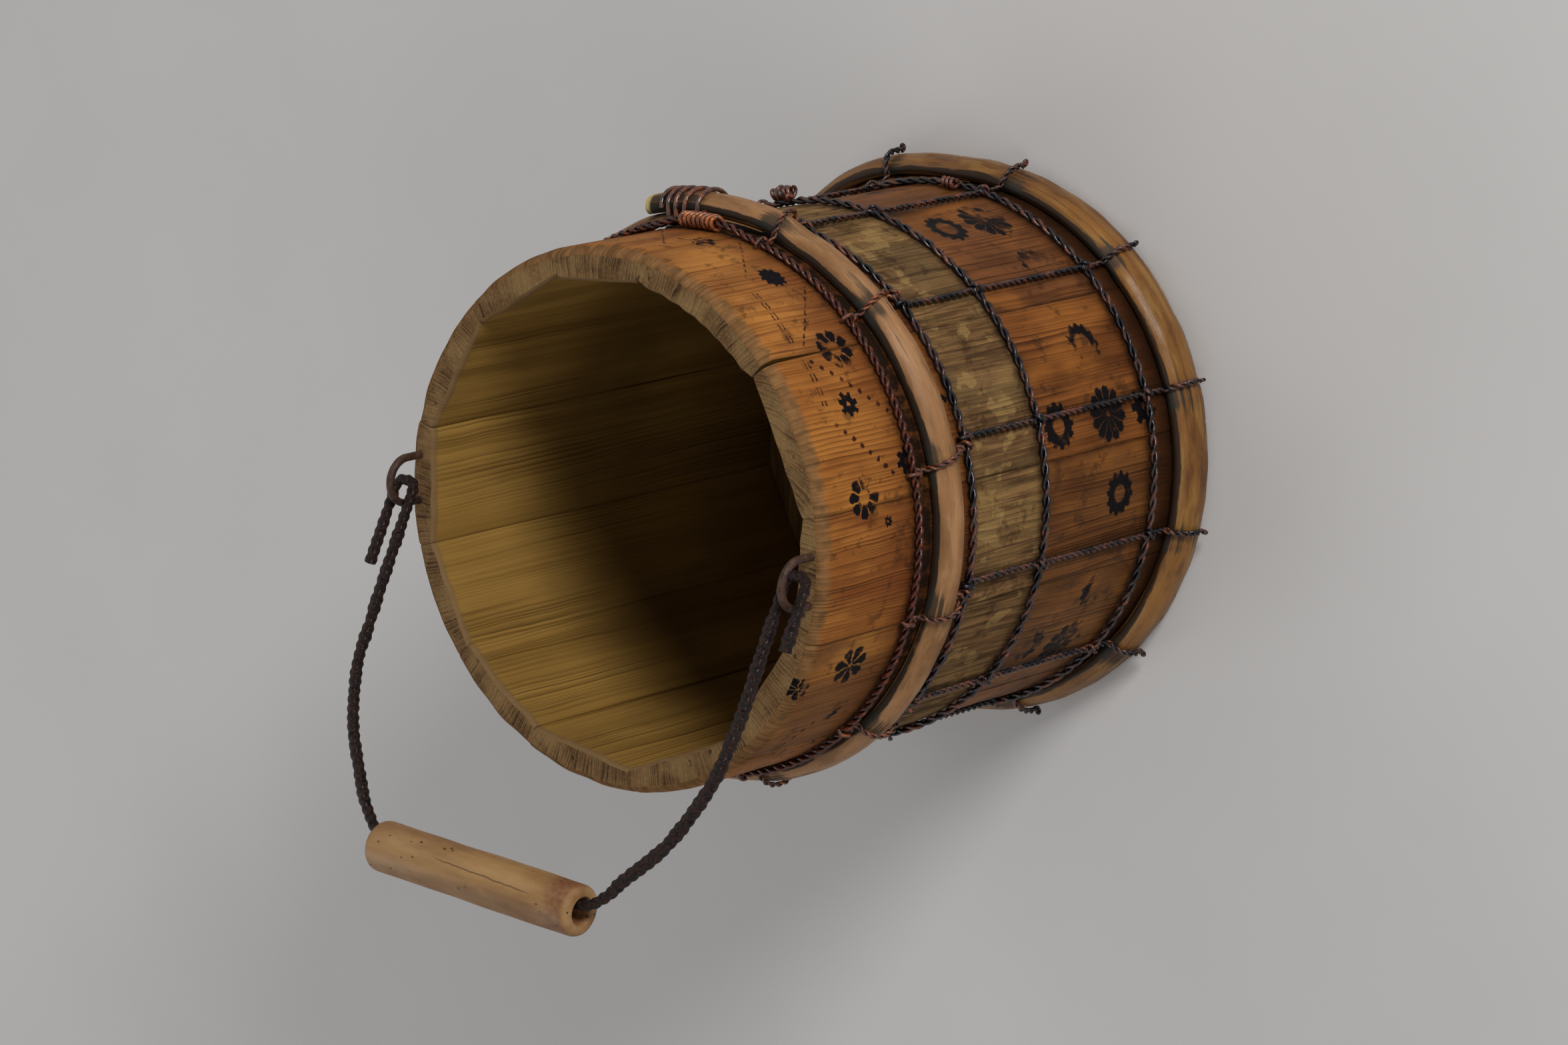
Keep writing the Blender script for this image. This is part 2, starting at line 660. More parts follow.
@dataclass(frozen=True)
class StaveFace(Finish):
    """The weathered outer face of a stave, with the bare bands, the burnt marks and soiled edges."""

    seed: float = 0.0
    tone: str = "B0713B"
    deep: str = "7E4420"
    line: str = "5A2E14"
    foot: str = "935A2B"
    foot_deep: str = "6B3C1B"
    ring_width: float = 1.9
    stamps: tuple[Stamp, ...] = ()
    rows: tuple[DashRow, ...] = ()

    def marks(self, sheet: NodeSheet, vector: Socket, effects: Effects) -> tuple[Socket, Socket, Socket]:
        """Burnt stamps and strokes.

        Args:
            sheet: The material's nodes.
            vector: The wall's map.
            effects: The shared groups.

        Returns:
            The strength of the stamps, how charred they are, and the strength of the dark red strokes.
        """
        loose = sheet.shaken(vector, 0.0021, 0.0011)
        found: dict[str, object] = {}
        for stamp in self.stamps:
            opening, petals, depth, gap = stamp.kind.value
            step = sheet.effect(effects.nearer_stamp, Vector=loose, Size=stamp.radius * MM,
                                Centre=(FORM.arc(stamp.angle), stamp.height * MM, 0), Iron=(opening, petals, depth),
                                Wear=(gap, math.radians(stamp.turn), stamp.wear), **found)
            found = {key: step.outputs[key] for key in ("Best Place", "Best Iron", "Best Wear")}
        stamps = sheet.effect(effects.stamp, Vector=vector, Place=found.get("Best Place", (9, 9, 9)),
                              Iron=found.get("Best Iron"), Wear=found.get("Best Wear"))
        found = {}
        for row in self.rows:
            a = np.array([FORM.arc(row.start[0]), row.start[1] * MM])
            b = np.array([FORM.arc(row.end[0]), row.end[1] * MM])
            length = float(np.linalg.norm(b - a))
            step = sheet.effect(effects.nearer_row, Vector=loose, Centre=(*a, 0), Along=(*(b - a) / length, 0),
                                Size=length, Stroke=(row.pitch * MM, row.stroke * MM, row.thickness * MM),
                                Pair=(row.apart * MM, row.wear, length), **found)
            found = {key: step.outputs[key] for key in ("Best Place", "Best Stroke", "Best Pair")}
        rows = sheet.effect(effects.dashes, Place=found.get("Best Place", (9, 9, 9)),
                            Stroke=found.get("Best Stroke", (1, 0, 0)), Pair=found.get("Best Pair"))
        return stamps.outputs["Mark"], stamps.outputs["Char"], rows.outputs["Mark"]

    def dress(self, sheet: NodeSheet, surface: bpy.types.Node, effects: Effects) -> None:
        """Wood colour by height, grain, marks, soil beside the wires and the pale worn rim."""
        vector = sheet.wall_map()
        x, height, _ = sheet.split(vector)
        grain = sheet.effect(effects.grain, Vector=vector, Seed=self.seed, Ring_Width=self.ring_width * MM)
        rings, fibre, broad = (grain.outputs[k] for k in ("Rings", "Fibre", "Broad"))
        patch = sheet.noise(sheet.stretch(vector, (1, 0.45, 1), (0, 0, self.seed)), 38.0, 3.0)
        small = sheet.noise(sheet.stretch(vector, (1, 0.6, 1), (0, 0, self.seed + 3)), 190.0, 4.0, 0.6)

        warm = sheet.noise(sheet.stretch(vector, (1, 0.4, 1), (0.3, 0, self.seed)), 48.0, 3.0)
        mellow = sheet.blend(sheet.fit(broad, 0.35, 0.7, 0, 0.9), colour(self.tone), colour(self.deep))
        mellow = sheet.blend(sheet.fit(warm, 0.48, 0.68, 0, 0.5), mellow, colour("B57936"))
        down = sheet.calc("MULTIPLY_ADD", sheet.calc("SUBTRACT", patch, 0.5), 0.05, height)
        mellow = sheet.blend(sheet.fit(down, 0.24, 0.21, 0, 0.62), mellow, colour("623318"))
        mellow = sheet.blend(sheet.fit(patch, 0.52, 0.75, 0, 0.6), mellow, colour(self.deep, 0.7))
        low = sheet.blend(sheet.fit(broad, 0.35, 0.7), colour(self.foot), colour(self.foot_deep))
        low = sheet.blend(sheet.fit(warm, 0.47, 0.68, 0, 0.7), low, colour("925A26"))
        low = sheet.blend(sheet.fit(patch, 0.48, 0.72, 0, 0.75), low, colour(self.foot_deep, 0.65))
        scraped = sheet.noise(sheet.join(sheet.product(x, 330.0), sheet.product(height, 24.0), self.seed), 1.0, 4.0, 0.6)
        bare = sheet.blend(sheet.fit(scraped, 0.35, 0.65), colour("7F603D"), colour("523B24"))
        bare = sheet.blend(sheet.fit(patch, 0.48, 0.68, 0, 0.6), bare, colour("8E7145"))
        bare = sheet.blend(sheet.fit(warm, 0.5, 0.66, 0, 0.55), bare, colour("5B4930"))
        bare = sheet.blend(sheet.fit(small, 0.55, 0.75, 0, 0.5), bare, colour("3F2E1C"))
        fleck = sheet.noise(sheet.join(sheet.product(x, 430.0), sheet.product(height, 75.0), self.seed), 1.0, 1.0)
        nick = sheet.noise(sheet.join(sheet.product(x, 75.0), sheet.product(height, 520.0), self.seed), 1.0, 1.0)
        facet = sheet.noise(sheet.join(sheet.product(x, 85.0), sheet.product(height, 60.0), self.seed + 8), 1.0, 2.0)
        chosen = sheet.calc("ADD", sheet.product(fleck, sheet.fit(facet, 0.56, 0.5)),
                            sheet.product(nick, sheet.fit(facet, 0.5, 0.56)))
        flecks = sheet.product(sheet.fit(chosen, 0.6, 0.78), sheet.fit(patch, 0.44, 0.56, 0.05, 0.35))
        bare = sheet.blend(flecks, bare, colour("A88B57"))
        bare = sheet.blend(sheet.fit(facet, 0.58, 0.62, 0, 0.5), bare, colour("9C8050"))

        ragged = sheet.calc("MULTIPLY_ADD", sheet.calc("SUBTRACT", small, 0.5), 0.002, height)
        above_third = sheet.fit(ragged, 0.1195, 0.1215)
        above_second = sheet.fit(ragged, 0.1735, 0.1755)
        band = sheet.product(above_third, sheet.calc("SUBTRACT", 1.0, above_second))
        base = sheet.blend(above_second, low, mellow)
        base = sheet.blend(band, base, bare)

        line = sheet.blend(above_second, colour(self.line, 0.55), colour(self.line, 1.1))
        dark_line = sheet.product(rings, sheet.calc("MULTIPLY_ADD", band, -0.2, 0.9))
        base = sheet.blend(dark_line, base, sheet.blend(band, line, colour("32251A")))
        base = sheet.blend(sheet.fit(fibre, 0.52, 0.85, 0, 0.45), base, sheet.blend(0.55, base, colour("1E1208")))
        base = sheet.blend(sheet.fit(fibre, 0.42, 0.2, 0, 0.3), base, sheet.blend(0.4, base, colour("C9995A")))
        streak = sheet.noise(sheet.join(sheet.product(x, 1150.0), sheet.product(height, 17.0), self.seed), 1.0, 3.0, 0.6)
        streak = sheet.product(sheet.fit(streak, 0.48, 0.72), sheet.fit(warm, 0.68, 0.4, 0.25, 0.75),
                               sheet.fit(height, 0.17, 0.18, 1.0, 0.7))
        base = sheet.blend(streak, base, sheet.blend(0.72, base, colour("180D06")))
        smudge = sheet.noise(sheet.stretch(vector, (1, 0.8, 1), (0.7, 0, self.seed)), 105.0, 4.0, 0.65)
        base = sheet.blend(sheet.fit(smudge, 0.55, 0.66, 0, 0.55), base, colour("2E1D12"))

        scorched = sheet.fit(sheet.calc("MULTIPLY_ADD", sheet.calc("SUBTRACT", patch, 0.5), 0.014, height),
                             0.05, 0.027, 0, 0.88)
        base = sheet.blend(scorched, base, colour("2B1509"))
        soil = sheet.calc("MULTIPLY", sheet.attribute(SOIL), sheet.fit(small, 0.3, 0.62, 0.5, 1.0))
        base = sheet.blend(soil, base, colour("1D120B"))
        specks = sheet.fit(sheet.cells(sheet.stretch(vector, (1, 0.5, 1)), 520.0), 0.1, 0.04, 0, 0.45)
        base = sheet.blend(specks, base, colour("4A2A16"))

        worn_edge = sheet.fit(sheet.calc("MULTIPLY_ADD", sheet.calc("SUBTRACT", small, 0.5), 0.007, height),
                              0.2668, 0.271)
        pale = sheet.blend(sheet.fit(small, 0.35, 0.7), colour("84603C"), colour("61452A"))
        pale = sheet.blend(sheet.product(rings, 0.6), pale, colour("3F2C1A"))
        base = sheet.blend(worn_edge, base, pale)

        black, char, red = self.marks(sheet, vector, effects)
        base = sheet.blend(sheet.product(red, 0.95), base, colour("260E0A"))
        burnt = sheet.blend(char, colour("2C180E"), sheet.blend(fibre, colour("040409"), colour("0E0A0B")))
        base = sheet.blend(sheet.product(black, sheet.fit(char, 0.0, 1.0, 0.75, 1.0, "LINEAR")), base, burnt)
        sheet.feed(surface.inputs["Base Color"], base)

        shine = sheet.calc("MULTIPLY_ADD", sheet.calc("SUBTRACT", 1.0, above_second), -0.1, 0.62)
        rough = sheet.blend(sheet.most(band, worn_edge), sheet.join(shine, shine, shine), (0.86, 0.86, 0.86, 1))
        rough_value = sheet.add("ShaderNodeSeparateColor", {0: rough}).outputs[0]
        sheet.feed(surface.inputs["Roughness"], sheet.calc("MULTIPLY_ADD", sheet.calc("SUBTRACT", small, 0.5), 0.3,
                                                           rough_value, clamp=True))
        surface.inputs["Specular IOR Level"].default_value = 0.07
        relief = sheet.calc("MULTIPLY_ADD", rings, 0.5, sheet.calc("MULTIPLY", fibre, 0.6))
        relief = sheet.calc("MULTIPLY_ADD", small, 0.3, relief)
        self.bump(sheet, surface, relief, 0.0004)


@dataclass(frozen=True)
class InsideFace(Finish):
    """The yellowed inner faces, with dark lengthwise lines."""

    light: str = "96743A"
    deep: str = "6C4F22"
    line: str = "3E2A10"

    def dress(self, sheet: NodeSheet, surface: bpy.types.Node, effects: Effects) -> None:
        """Golden wood with growth rings, darker streaks and a stained lower part."""
        vector = sheet.wall_map()
        _, height, _ = sheet.split(vector)
        grain = sheet.effect(effects.grain, Vector=vector, Seed=sheet.attribute("seed"), Ring_Width=0.0026,
                             Wander=0.012, Length=0.3)
        rings, fibre, broad = (grain.outputs[k] for k in ("Rings", "Fibre", "Broad"))
        patch = sheet.noise(sheet.stretch(vector, (1, 0.35, 1)), 26.0, 3.0)
        spread = sheet.noise(sheet.stretch(vector, (1, 0.3, 1), (0.4, 0, 2.0)), 17.0, 2.0)
        base = sheet.blend(sheet.fit(broad, 0.3, 0.7, 0, 0.6), colour(self.light), colour(self.deep))
        base = sheet.blend(sheet.fit(patch, 0.45, 0.75, 0, 0.6), base, colour("6A5126"))
        base = sheet.blend(sheet.product(rings, sheet.fit(spread, 0.38, 0.6, 0.25, 0.85)), base, colour(self.line))
        base = sheet.blend(sheet.fit(fibre, 0.5, 0.85, 0, 0.35), base, colour(self.line))
        worn = sheet.fit(sheet.calc("MULTIPLY_ADD", patch, 0.004, height), 0.2712, 0.2738, 0, 0.9)
        base = sheet.blend(worn, base, colour("6E563A"))
        ragged = sheet.calc("MULTIPLY_ADD", patch, 0.05, height)
        used = sheet.product(sheet.fit(ragged, 0.245, 0.2, 0, 0.42), sheet.fit(ragged, 0.12, 0.18))
        base = sheet.blend(used, base, colour("36210A"))
        damp = sheet.fit(ragged, 0.075, 0.03, 0, 0.4)
        base = sheet.blend(damp, base, colour("3B2A14"))
        sheet.feed(surface.inputs["Base Color"], base)
        sheet.feed(surface.inputs["Roughness"], sheet.fit(patch, 0.2, 0.8, 0.55, 0.78, "LINEAR"))
        surface.inputs["Specular IOR Level"].default_value = 0.12
        relief = sheet.calc("MULTIPLY_ADD", rings, -0.4, sheet.calc("MULTIPLY", fibre, 0.4))
        self.bump(sheet, surface, relief, 0.00018)


@dataclass(frozen=True)
class EndGrain(Finish):
    """Cut ends of the staves: growth rings that run across, worn grey."""

    hole: tuple[float, float] = (5.2, 112.5)

    def dress(self, sheet: NodeSheet, surface: bpy.types.Node, effects: Effects) -> None:
        """Grey-tan wood with dark ring lines in patches, pores and dirt."""
        vector = sheet.wall_map()
        x, y, _ = sheet.split(vector)
        turn = sheet.attribute("ring_turn")
        spun_x = sheet.calc("ADD", sheet.product(x, sheet.calc("COSINE", turn)),
                            sheet.product(y, sheet.calc("SINE", turn)))
        spun_y = sheet.calc("SUBTRACT", sheet.product(y, sheet.calc("COSINE", turn)),
                            sheet.product(x, sheet.calc("SINE", turn)))
        spun = sheet.join(spun_x, spun_y)
        grain = sheet.effect(effects.grain, Vector=spun, Seed=sheet.attribute("seed"), Ring_Width=0.0021,
                             Wander=0.004, Length=0.02)
        rings = grain.outputs["Rings"]
        patch = sheet.noise(vector, 60.0, 3.0)
        small = sheet.noise(vector, 650.0, 3.0, 0.6)
        base = sheet.blend(sheet.fit(patch, 0.3, 0.7), colour("806541"), colour("62472B"))
        base = sheet.blend(sheet.fit(small, 0.45, 0.75, 0, 0.5), base, colour("977A53"))
        lines = sheet.product(rings, sheet.fit(patch, 0.4, 0.58, 0.5, 1.0))
        base = sheet.blend(lines, base, colour("2E1D10"))
        pores = sheet.fit(sheet.cells(spun, 1500.0), 0.25, 0.12, 0, 0.5)
        off = sheet.vector("DISTANCE", vector, (FORM.arc(self.hole[0]), self.hole[1] * MM, 0))
        pores = sheet.most(pores, sheet.fit(off, 0.0021, 0.0014, 0, 0.95))
        base = sheet.blend(sheet.product(pores, sheet.fit(patch, 0.45, 0.55)), base, colour("2A1A10"))
        blots = sheet.fit(sheet.noise(sheet.stretch(vector, (1, 1, 1), (3, 1, 0)), 130.0, 4.0, 0.6), 0.63, 0.7, 0, 0.8)
        base = sheet.blend(blots, base, colour("2A1A14"))
        sheet.feed(surface.inputs["Base Color"], base)
        surface.inputs["Roughness"].default_value = 0.85
        surface.inputs["Specular IOR Level"].default_value = 0.12
        relief = sheet.calc("MULTIPLY_ADD", small, 0.7, sheet.calc("MULTIPLY", lines, -0.8))
        self.bump(sheet, surface, relief, 0.0004)


@dataclass(frozen=True)
class BoardWood(Finish):
    """Wood of the bottom boards and their dowels, with the grain along Y."""

    light: str = "96753C"
    deep: str = "62481F"

    def dress(self, sheet: NodeSheet, surface: bpy.types.Node, effects: Effects) -> None:
        """Stained boards with lengthwise lines and worn patches."""
        place = sheet.place()
        grain = sheet.effect(effects.grain, Vector=place, Seed=4.0, Ring_Width=0.0032, Wander=0.02, Length=0.25)
        rings, fibre, broad = (grain.outputs[k] for k in ("Rings", "Fibre", "Broad"))
        patch = sheet.noise(place, 22.0, 4.0, 0.6)
        base = sheet.blend(sheet.fit(broad, 0.3, 0.7), colour(self.light), colour(self.deep))
        base = sheet.blend(sheet.product(rings, 0.75), base, colour("3A2710"))
        base = sheet.blend(sheet.fit(patch, 0.5, 0.7, 0, 0.6), base, colour("4B3719"))
        base = sheet.blend(sheet.fit(fibre, 0.5, 0.8, 0, 0.3), base, colour("2B1C0C"))
        sheet.feed(surface.inputs["Base Color"], base)
        sheet.feed(surface.inputs["Roughness"], sheet.fit(patch, 0.3, 0.7, 0.6, 0.85, "LINEAR"))
        self.bump(sheet, surface, sheet.calc("MULTIPLY_ADD", rings, -0.6, sheet.calc("MULTIPLY", fibre, 0.5)), 0.0004)


@dataclass(frozen=True)
class HoopWood(Finish):
    """A peeled and split sapling, smooth and rubbed, with soot beside the wires."""

    light: str = "98704A"
    deep: str = "76542F"
    streak: str = "54361E"
    edge: str = "120B07"
    dapple: str = "A47F5C"
    mottled: float = 0.4
    streaks: float = 0.35
    gloss: float = 0.42
    seed: float = 0.0

    def dress(self, sheet: NodeSheet, surface: bpy.types.Node, effects: Effects) -> None:
        """Lengthwise streaks, a dark lower edge, black smudges and small cracks."""
        vector = sheet.wall_map()
        s, t, _ = sheet.split(vector)
        along = sheet.join(t, s, self.seed)
        grain = sheet.effect(effects.grain, Vector=along, Seed=self.seed, Ring_Width=0.0028, Wander=0.01,
                             Length=0.2)
        fibre, broad = grain.outputs["Fibre"], grain.outputs["Broad"]
        slow = sheet.noise(sheet.join(sheet.product(s, 14.0), sheet.product(t, 60.0), self.seed), 1.0, 3.0, 0.55)
        long = sheet.noise(sheet.join(sheet.product(s, 7.0), sheet.product(t, 420.0), self.seed), 1.0, 3.0, 0.6)
        base = sheet.blend(sheet.fit(slow, 0.3, 0.7), colour(self.light), colour(self.deep))
        mottle = sheet.noise(sheet.join(sheet.product(s, 38.0), sheet.product(t, 120.0), self.seed), 1.0, 4.0, 0.6)
        base = sheet.blend(sheet.fit(mottle, 0.5, 0.62, 0, self.mottled), base, colour(self.dapple))
        base = sheet.blend(sheet.fit(mottle, 0.46, 0.36, 0, self.mottled), base, colour(self.streak))
        base = sheet.blend(sheet.fit(long, 0.5, 0.75, 0, self.streaks), base, colour(self.streak))
        base = sheet.blend(sheet.fit(fibre, 0.5, 0.85, 0, 0.25), base, colour(self.streak))
        rim = sheet.attribute("edge")
        jagged = sheet.calc("MULTIPLY_ADD", sheet.calc("SUBTRACT", slow, 0.5), 0.22, rim)
        rim = sheet.fit(sheet.calc("MULTIPLY_ADD", sheet.calc("SUBTRACT", mottle, 0.5), 0.2, jagged), 0.925, 0.96, 0, 0.94)
        base = sheet.blend(rim, base, colour(self.edge))
        tip = sheet.product(sheet.attribute("tip"), 0.9)
        feather = sheet.calc("SUBTRACT", sheet.calc("MULTIPLY_ADD", mottle, 0.7, sheet.product(long, 0.9)), 0.8)
        soot = sheet.fit(sheet.calc("MULTIPLY_ADD", feather, 2.1, sheet.attribute(SOIL)), 0.3, 0.75, 0, 0.85)
        base = sheet.blend(soot, base, colour("22201B"))
        nick = sheet.fit(sheet.noise(sheet.join(sheet.product(s, 120.0), sheet.product(t, 1500.0), self.seed),
                                     1.0, 2.0), 0.70, 0.76, 0, 0.55)
        base = sheet.blend(nick, base, colour("2A190E"))
        base = sheet.blend(tip, base, colour("B7A269"))
        sheet.feed(surface.inputs["Base Color"], base)
        dull = sheet.product(sheet.most(rim, soot), 0.3)
        gloss = sheet.fit(slow, 0.3, 0.75, self.gloss, self.gloss + 0.25, "LINEAR")
        sheet.feed(surface.inputs["Roughness"], sheet.calc("ADD", gloss, dull))
        surface.inputs["Specular IOR Level"].default_value = 0.24
        relief = sheet.calc("MULTIPLY_ADD", broad, 0.4, sheet.calc("MULTIPLY_ADD", fibre, 0.35, long))
        self.bump(sheet, surface, relief, 0.0003)


@dataclass(frozen=True)
class CutWood(Finish):
    """The pale cut end of a sapling."""

    light: str = "C9B070"

    def dress(self, sheet: NodeSheet, surface: bpy.types.Node, effects: Effects) -> None:
        """Pale wood with faint pores."""
        place = sheet.place()
        small = sheet.noise(place, 700.0, 3.0, 0.6)
        slow = sheet.noise(place, 120.0, 3.0)
        base = sheet.blend(sheet.fit(slow, 0.35, 0.7), colour(self.light), colour("8E7340"))
        base = sheet.blend(sheet.fit(small, 0.5, 0.7, 0, 0.6), base, colour("6B5228"))
        sheet.feed(surface.inputs["Base Color"], base)
        surface.inputs["Roughness"].default_value = 0.8
        self.bump(sheet, surface, small, 0.0003)


@dataclass(frozen=True)
class IronWire(Finish):
    """Drawn iron wire that has gone dark, with rust in patches."""

    steel: str = "121318"
    rust_deep: str = "2C130B"
    rust_bright: str = "8A3E16"
    amount: float = 0.5
    patch: float = 90.0
    grain: float = 1400.0
    depth: float = 0.00018
    shine: float = 0.28
    dull: float = 0.55
    varnish: float = 0.3
    mirror: float = 0.5

    def dress(self, sheet: NodeSheet, surface: bpy.types.Node, effects: Effects) -> None:
        """Blue-black steel under patches of brown and orange rust."""
        place = sheet.place()
        rust = sheet.effect(effects.rust, Vector=place, Patch=self.patch, Grain=self.grain, Amount=self.amount)
        patches, grains, height = (rust.outputs[k] for k in ("Patches", "Grains", "Height"))
        hue = sheet.noise(place, self.patch * 2.3, 3.0, 0.6)
        brown = sheet.blend(sheet.product(sheet.fit(hue, 0.4, 0.68), grains), colour(self.rust_deep),
                            colour(self.rust_bright))
        steel = sheet.blend(sheet.fit(hue, 0.35, 0.7), colour(self.steel), colour(self.steel, 1.9))
        base = sheet.blend(patches, steel, brown)
        base = sheet.blend(sheet.fit(sheet.attribute("groove"), 0.05, 0.75, 0, 0.88), base, colour("060404"))
        sheet.feed(surface.inputs["Base Color"], base)
        surface.inputs["Specular IOR Level"].default_value = self.mirror
        surface.inputs["Coat Weight"].default_value = self.varnish
        surface.inputs["Coat Roughness"].default_value = 0.12
        sheet.feed(surface.inputs["Metallic"], sheet.fit(patches, 0.0, 1.0, 0.75, 0.1, "LINEAR"))
        sheet.feed(surface.inputs["Roughness"], sheet.fit(patches, 0.0, 1.0, self.shine, self.dull, "LINEAR"))
        self.bump(sheet, surface, height, self.depth)


@dataclass(frozen=True)
class GripWood(Finish):
    """Turned wood, rubbed by hands, with pinholes, a crack and stains."""

    def dress(self, sheet: NodeSheet, surface: bpy.types.Node, effects: Effects) -> None:
        """Tan wood along X with darker ends and tiny dark holes."""
        place = sheet.place()
        x, y, z = sheet.split(place)
        grain = sheet.effect(effects.grain, Vector=sheet.join(sheet.calc("ADD", y, z), x), Seed=7.0,
                             Ring_Width=0.0022, Wander=0.006, Length=0.1)
        rings, fibre, broad = (grain.outputs[k] for k in ("Rings", "Fibre", "Broad"))
        slow = sheet.noise(sheet.stretch(place, (0.35, 1, 1)), 90.0, 4.0, 0.55)
        base = sheet.blend(sheet.fit(slow, 0.3, 0.72), colour("967349"), colour("755330"))
        base = sheet.blend(sheet.product(rings, 0.25), base, colour("6B4624"))
        base = sheet.blend(sheet.fit(broad, 0.5, 0.85, 0, 0.5), base, colour("AE8B50"))
        base = sheet.blend(sheet.fit(fibre, 0.55, 0.9, 0, 0.3), base, colour("5A3A1E"))
        rough = sheet.noise(place, 420.0, 3.0, 0.6)
        end = sheet.fit(sheet.calc("MULTIPLY_ADD", sheet.calc("SUBTRACT", slow, 0.5), 0.02, x), 0.044, 0.052)
        end = sheet.product(end, sheet.fit(x, 0.0595, 0.056), sheet.fit(rough, 0.3, 0.7, 0.3, 0.7))
        base = sheet.blend(end, base, colour("5C2814"))
        crack = self.crack(sheet, place)
        base = sheet.blend(sheet.product(crack, 0.75), base, colour("4A2C14"))
        holes = sheet.fit(sheet.cells(sheet.stretch(place, (0.55, 1, 1)), 300.0), 0.17, 0.1)
        some = sheet.fit(sheet.noise(place, 60.0, 2.0), 0.46, 0.54)
        holes = sheet.product(holes, some)
        base = sheet.blend(sheet.product(holes, 0.9), base, colour("24130A"))
        sheet.feed(surface.inputs["Base Color"], base)
        sheet.feed(surface.inputs["Roughness"], sheet.fit(slow, 0.3, 0.7, 0.5, 0.7, "LINEAR"))
        surface.inputs["Specular IOR Level"].default_value = 0.4
        relief = sheet.calc("MULTIPLY_ADD", holes, -1.0, sheet.calc("MULTIPLY_ADD", fibre, 0.3, sheet.product(rings, 0.2)))
        relief = sheet.calc("MULTIPLY_ADD", crack, -1.0, relief)
        self.bump(sheet, surface, relief, 0.0004)

    @staticmethod
    def crack(sheet: NodeSheet, place: Socket) -> Socket:
        """Draw one fine crack along the upper side.

        Args:
            sheet: The material's nodes.
            place: The place in the bucket's frame.

        Returns:
            The crack's strength from 0 to 1.
        """
        local = sheet.vector("ADD", place, (0, 0.1438, -0.3491))
        x, _, _ = sheet.split(local)
        side = sheet.vector("DOT_PRODUCT", local, (-0.03, -0.84, 0.54))
        ahead = sheet.vector("DOT_PRODUCT", local, (0, 0.54, 0.84))
        wander = sheet.noise(sheet.stretch(local, (1, 0, 0)), 130.0, 3.0)
        line = sheet.calc("ABSOLUTE", sheet.calc("MULTIPLY_ADD", sheet.calc("SUBTRACT", wander, 0.5), 0.002, side))
        ends = sheet.product(sheet.fit(x, -0.022, -0.01), sheet.fit(x, 0.042, 0.03), sheet.fit(ahead, 0.0, 0.001))
        return sheet.product(sheet.fit(line, 0.0003, 0.00006), ends)


@dataclass(frozen=True)
class PaleFloor(Finish):
    """The plain pale floor."""

    tint: str = "C6C5C5"

    def dress(self, sheet: NodeSheet, surface: bpy.types.Node, effects: Effects) -> None:
        """A matt pale surface with a breath of unevenness, as pale far off as it is under the lamps."""
        place = sheet.place()
        soft = sheet.noise(place, 9.0, 3.0)
        base = sheet.blend(sheet.fit(soft, 0.3, 0.7, 0, 0.12), colour(self.tint), colour("B6B5B5"))
        sheet.feed(surface.inputs["Base Color"], base)
        far = sheet.fit(sheet.vector("DISTANCE", place, (0, 0, 0)), 1.6, 5.0, 0.0, 0.45)
        seen = sheet.product(far, sheet.add("ShaderNodeLightPath").outputs["Is Camera Ray"])
        sheet.feed(surface.inputs["Emission Color"], sheet.blend(seen, (0, 0, 0, 1), colour(self.tint)))
        surface.inputs["Emission Strength"].default_value = 1.0
        surface.inputs["Roughness"].default_value = 0.9
        surface.inputs["Specular IOR Level"].default_value = 0.2


@dataclass(frozen=True)
class Path:
    """The line that a wire follows, with how its strands lie at each point."""

    points: Array
    across: Array
    turn: Array
    offset: Array
    radius: Array
    closed: bool = False
    starts: tuple[int, ...] = ()


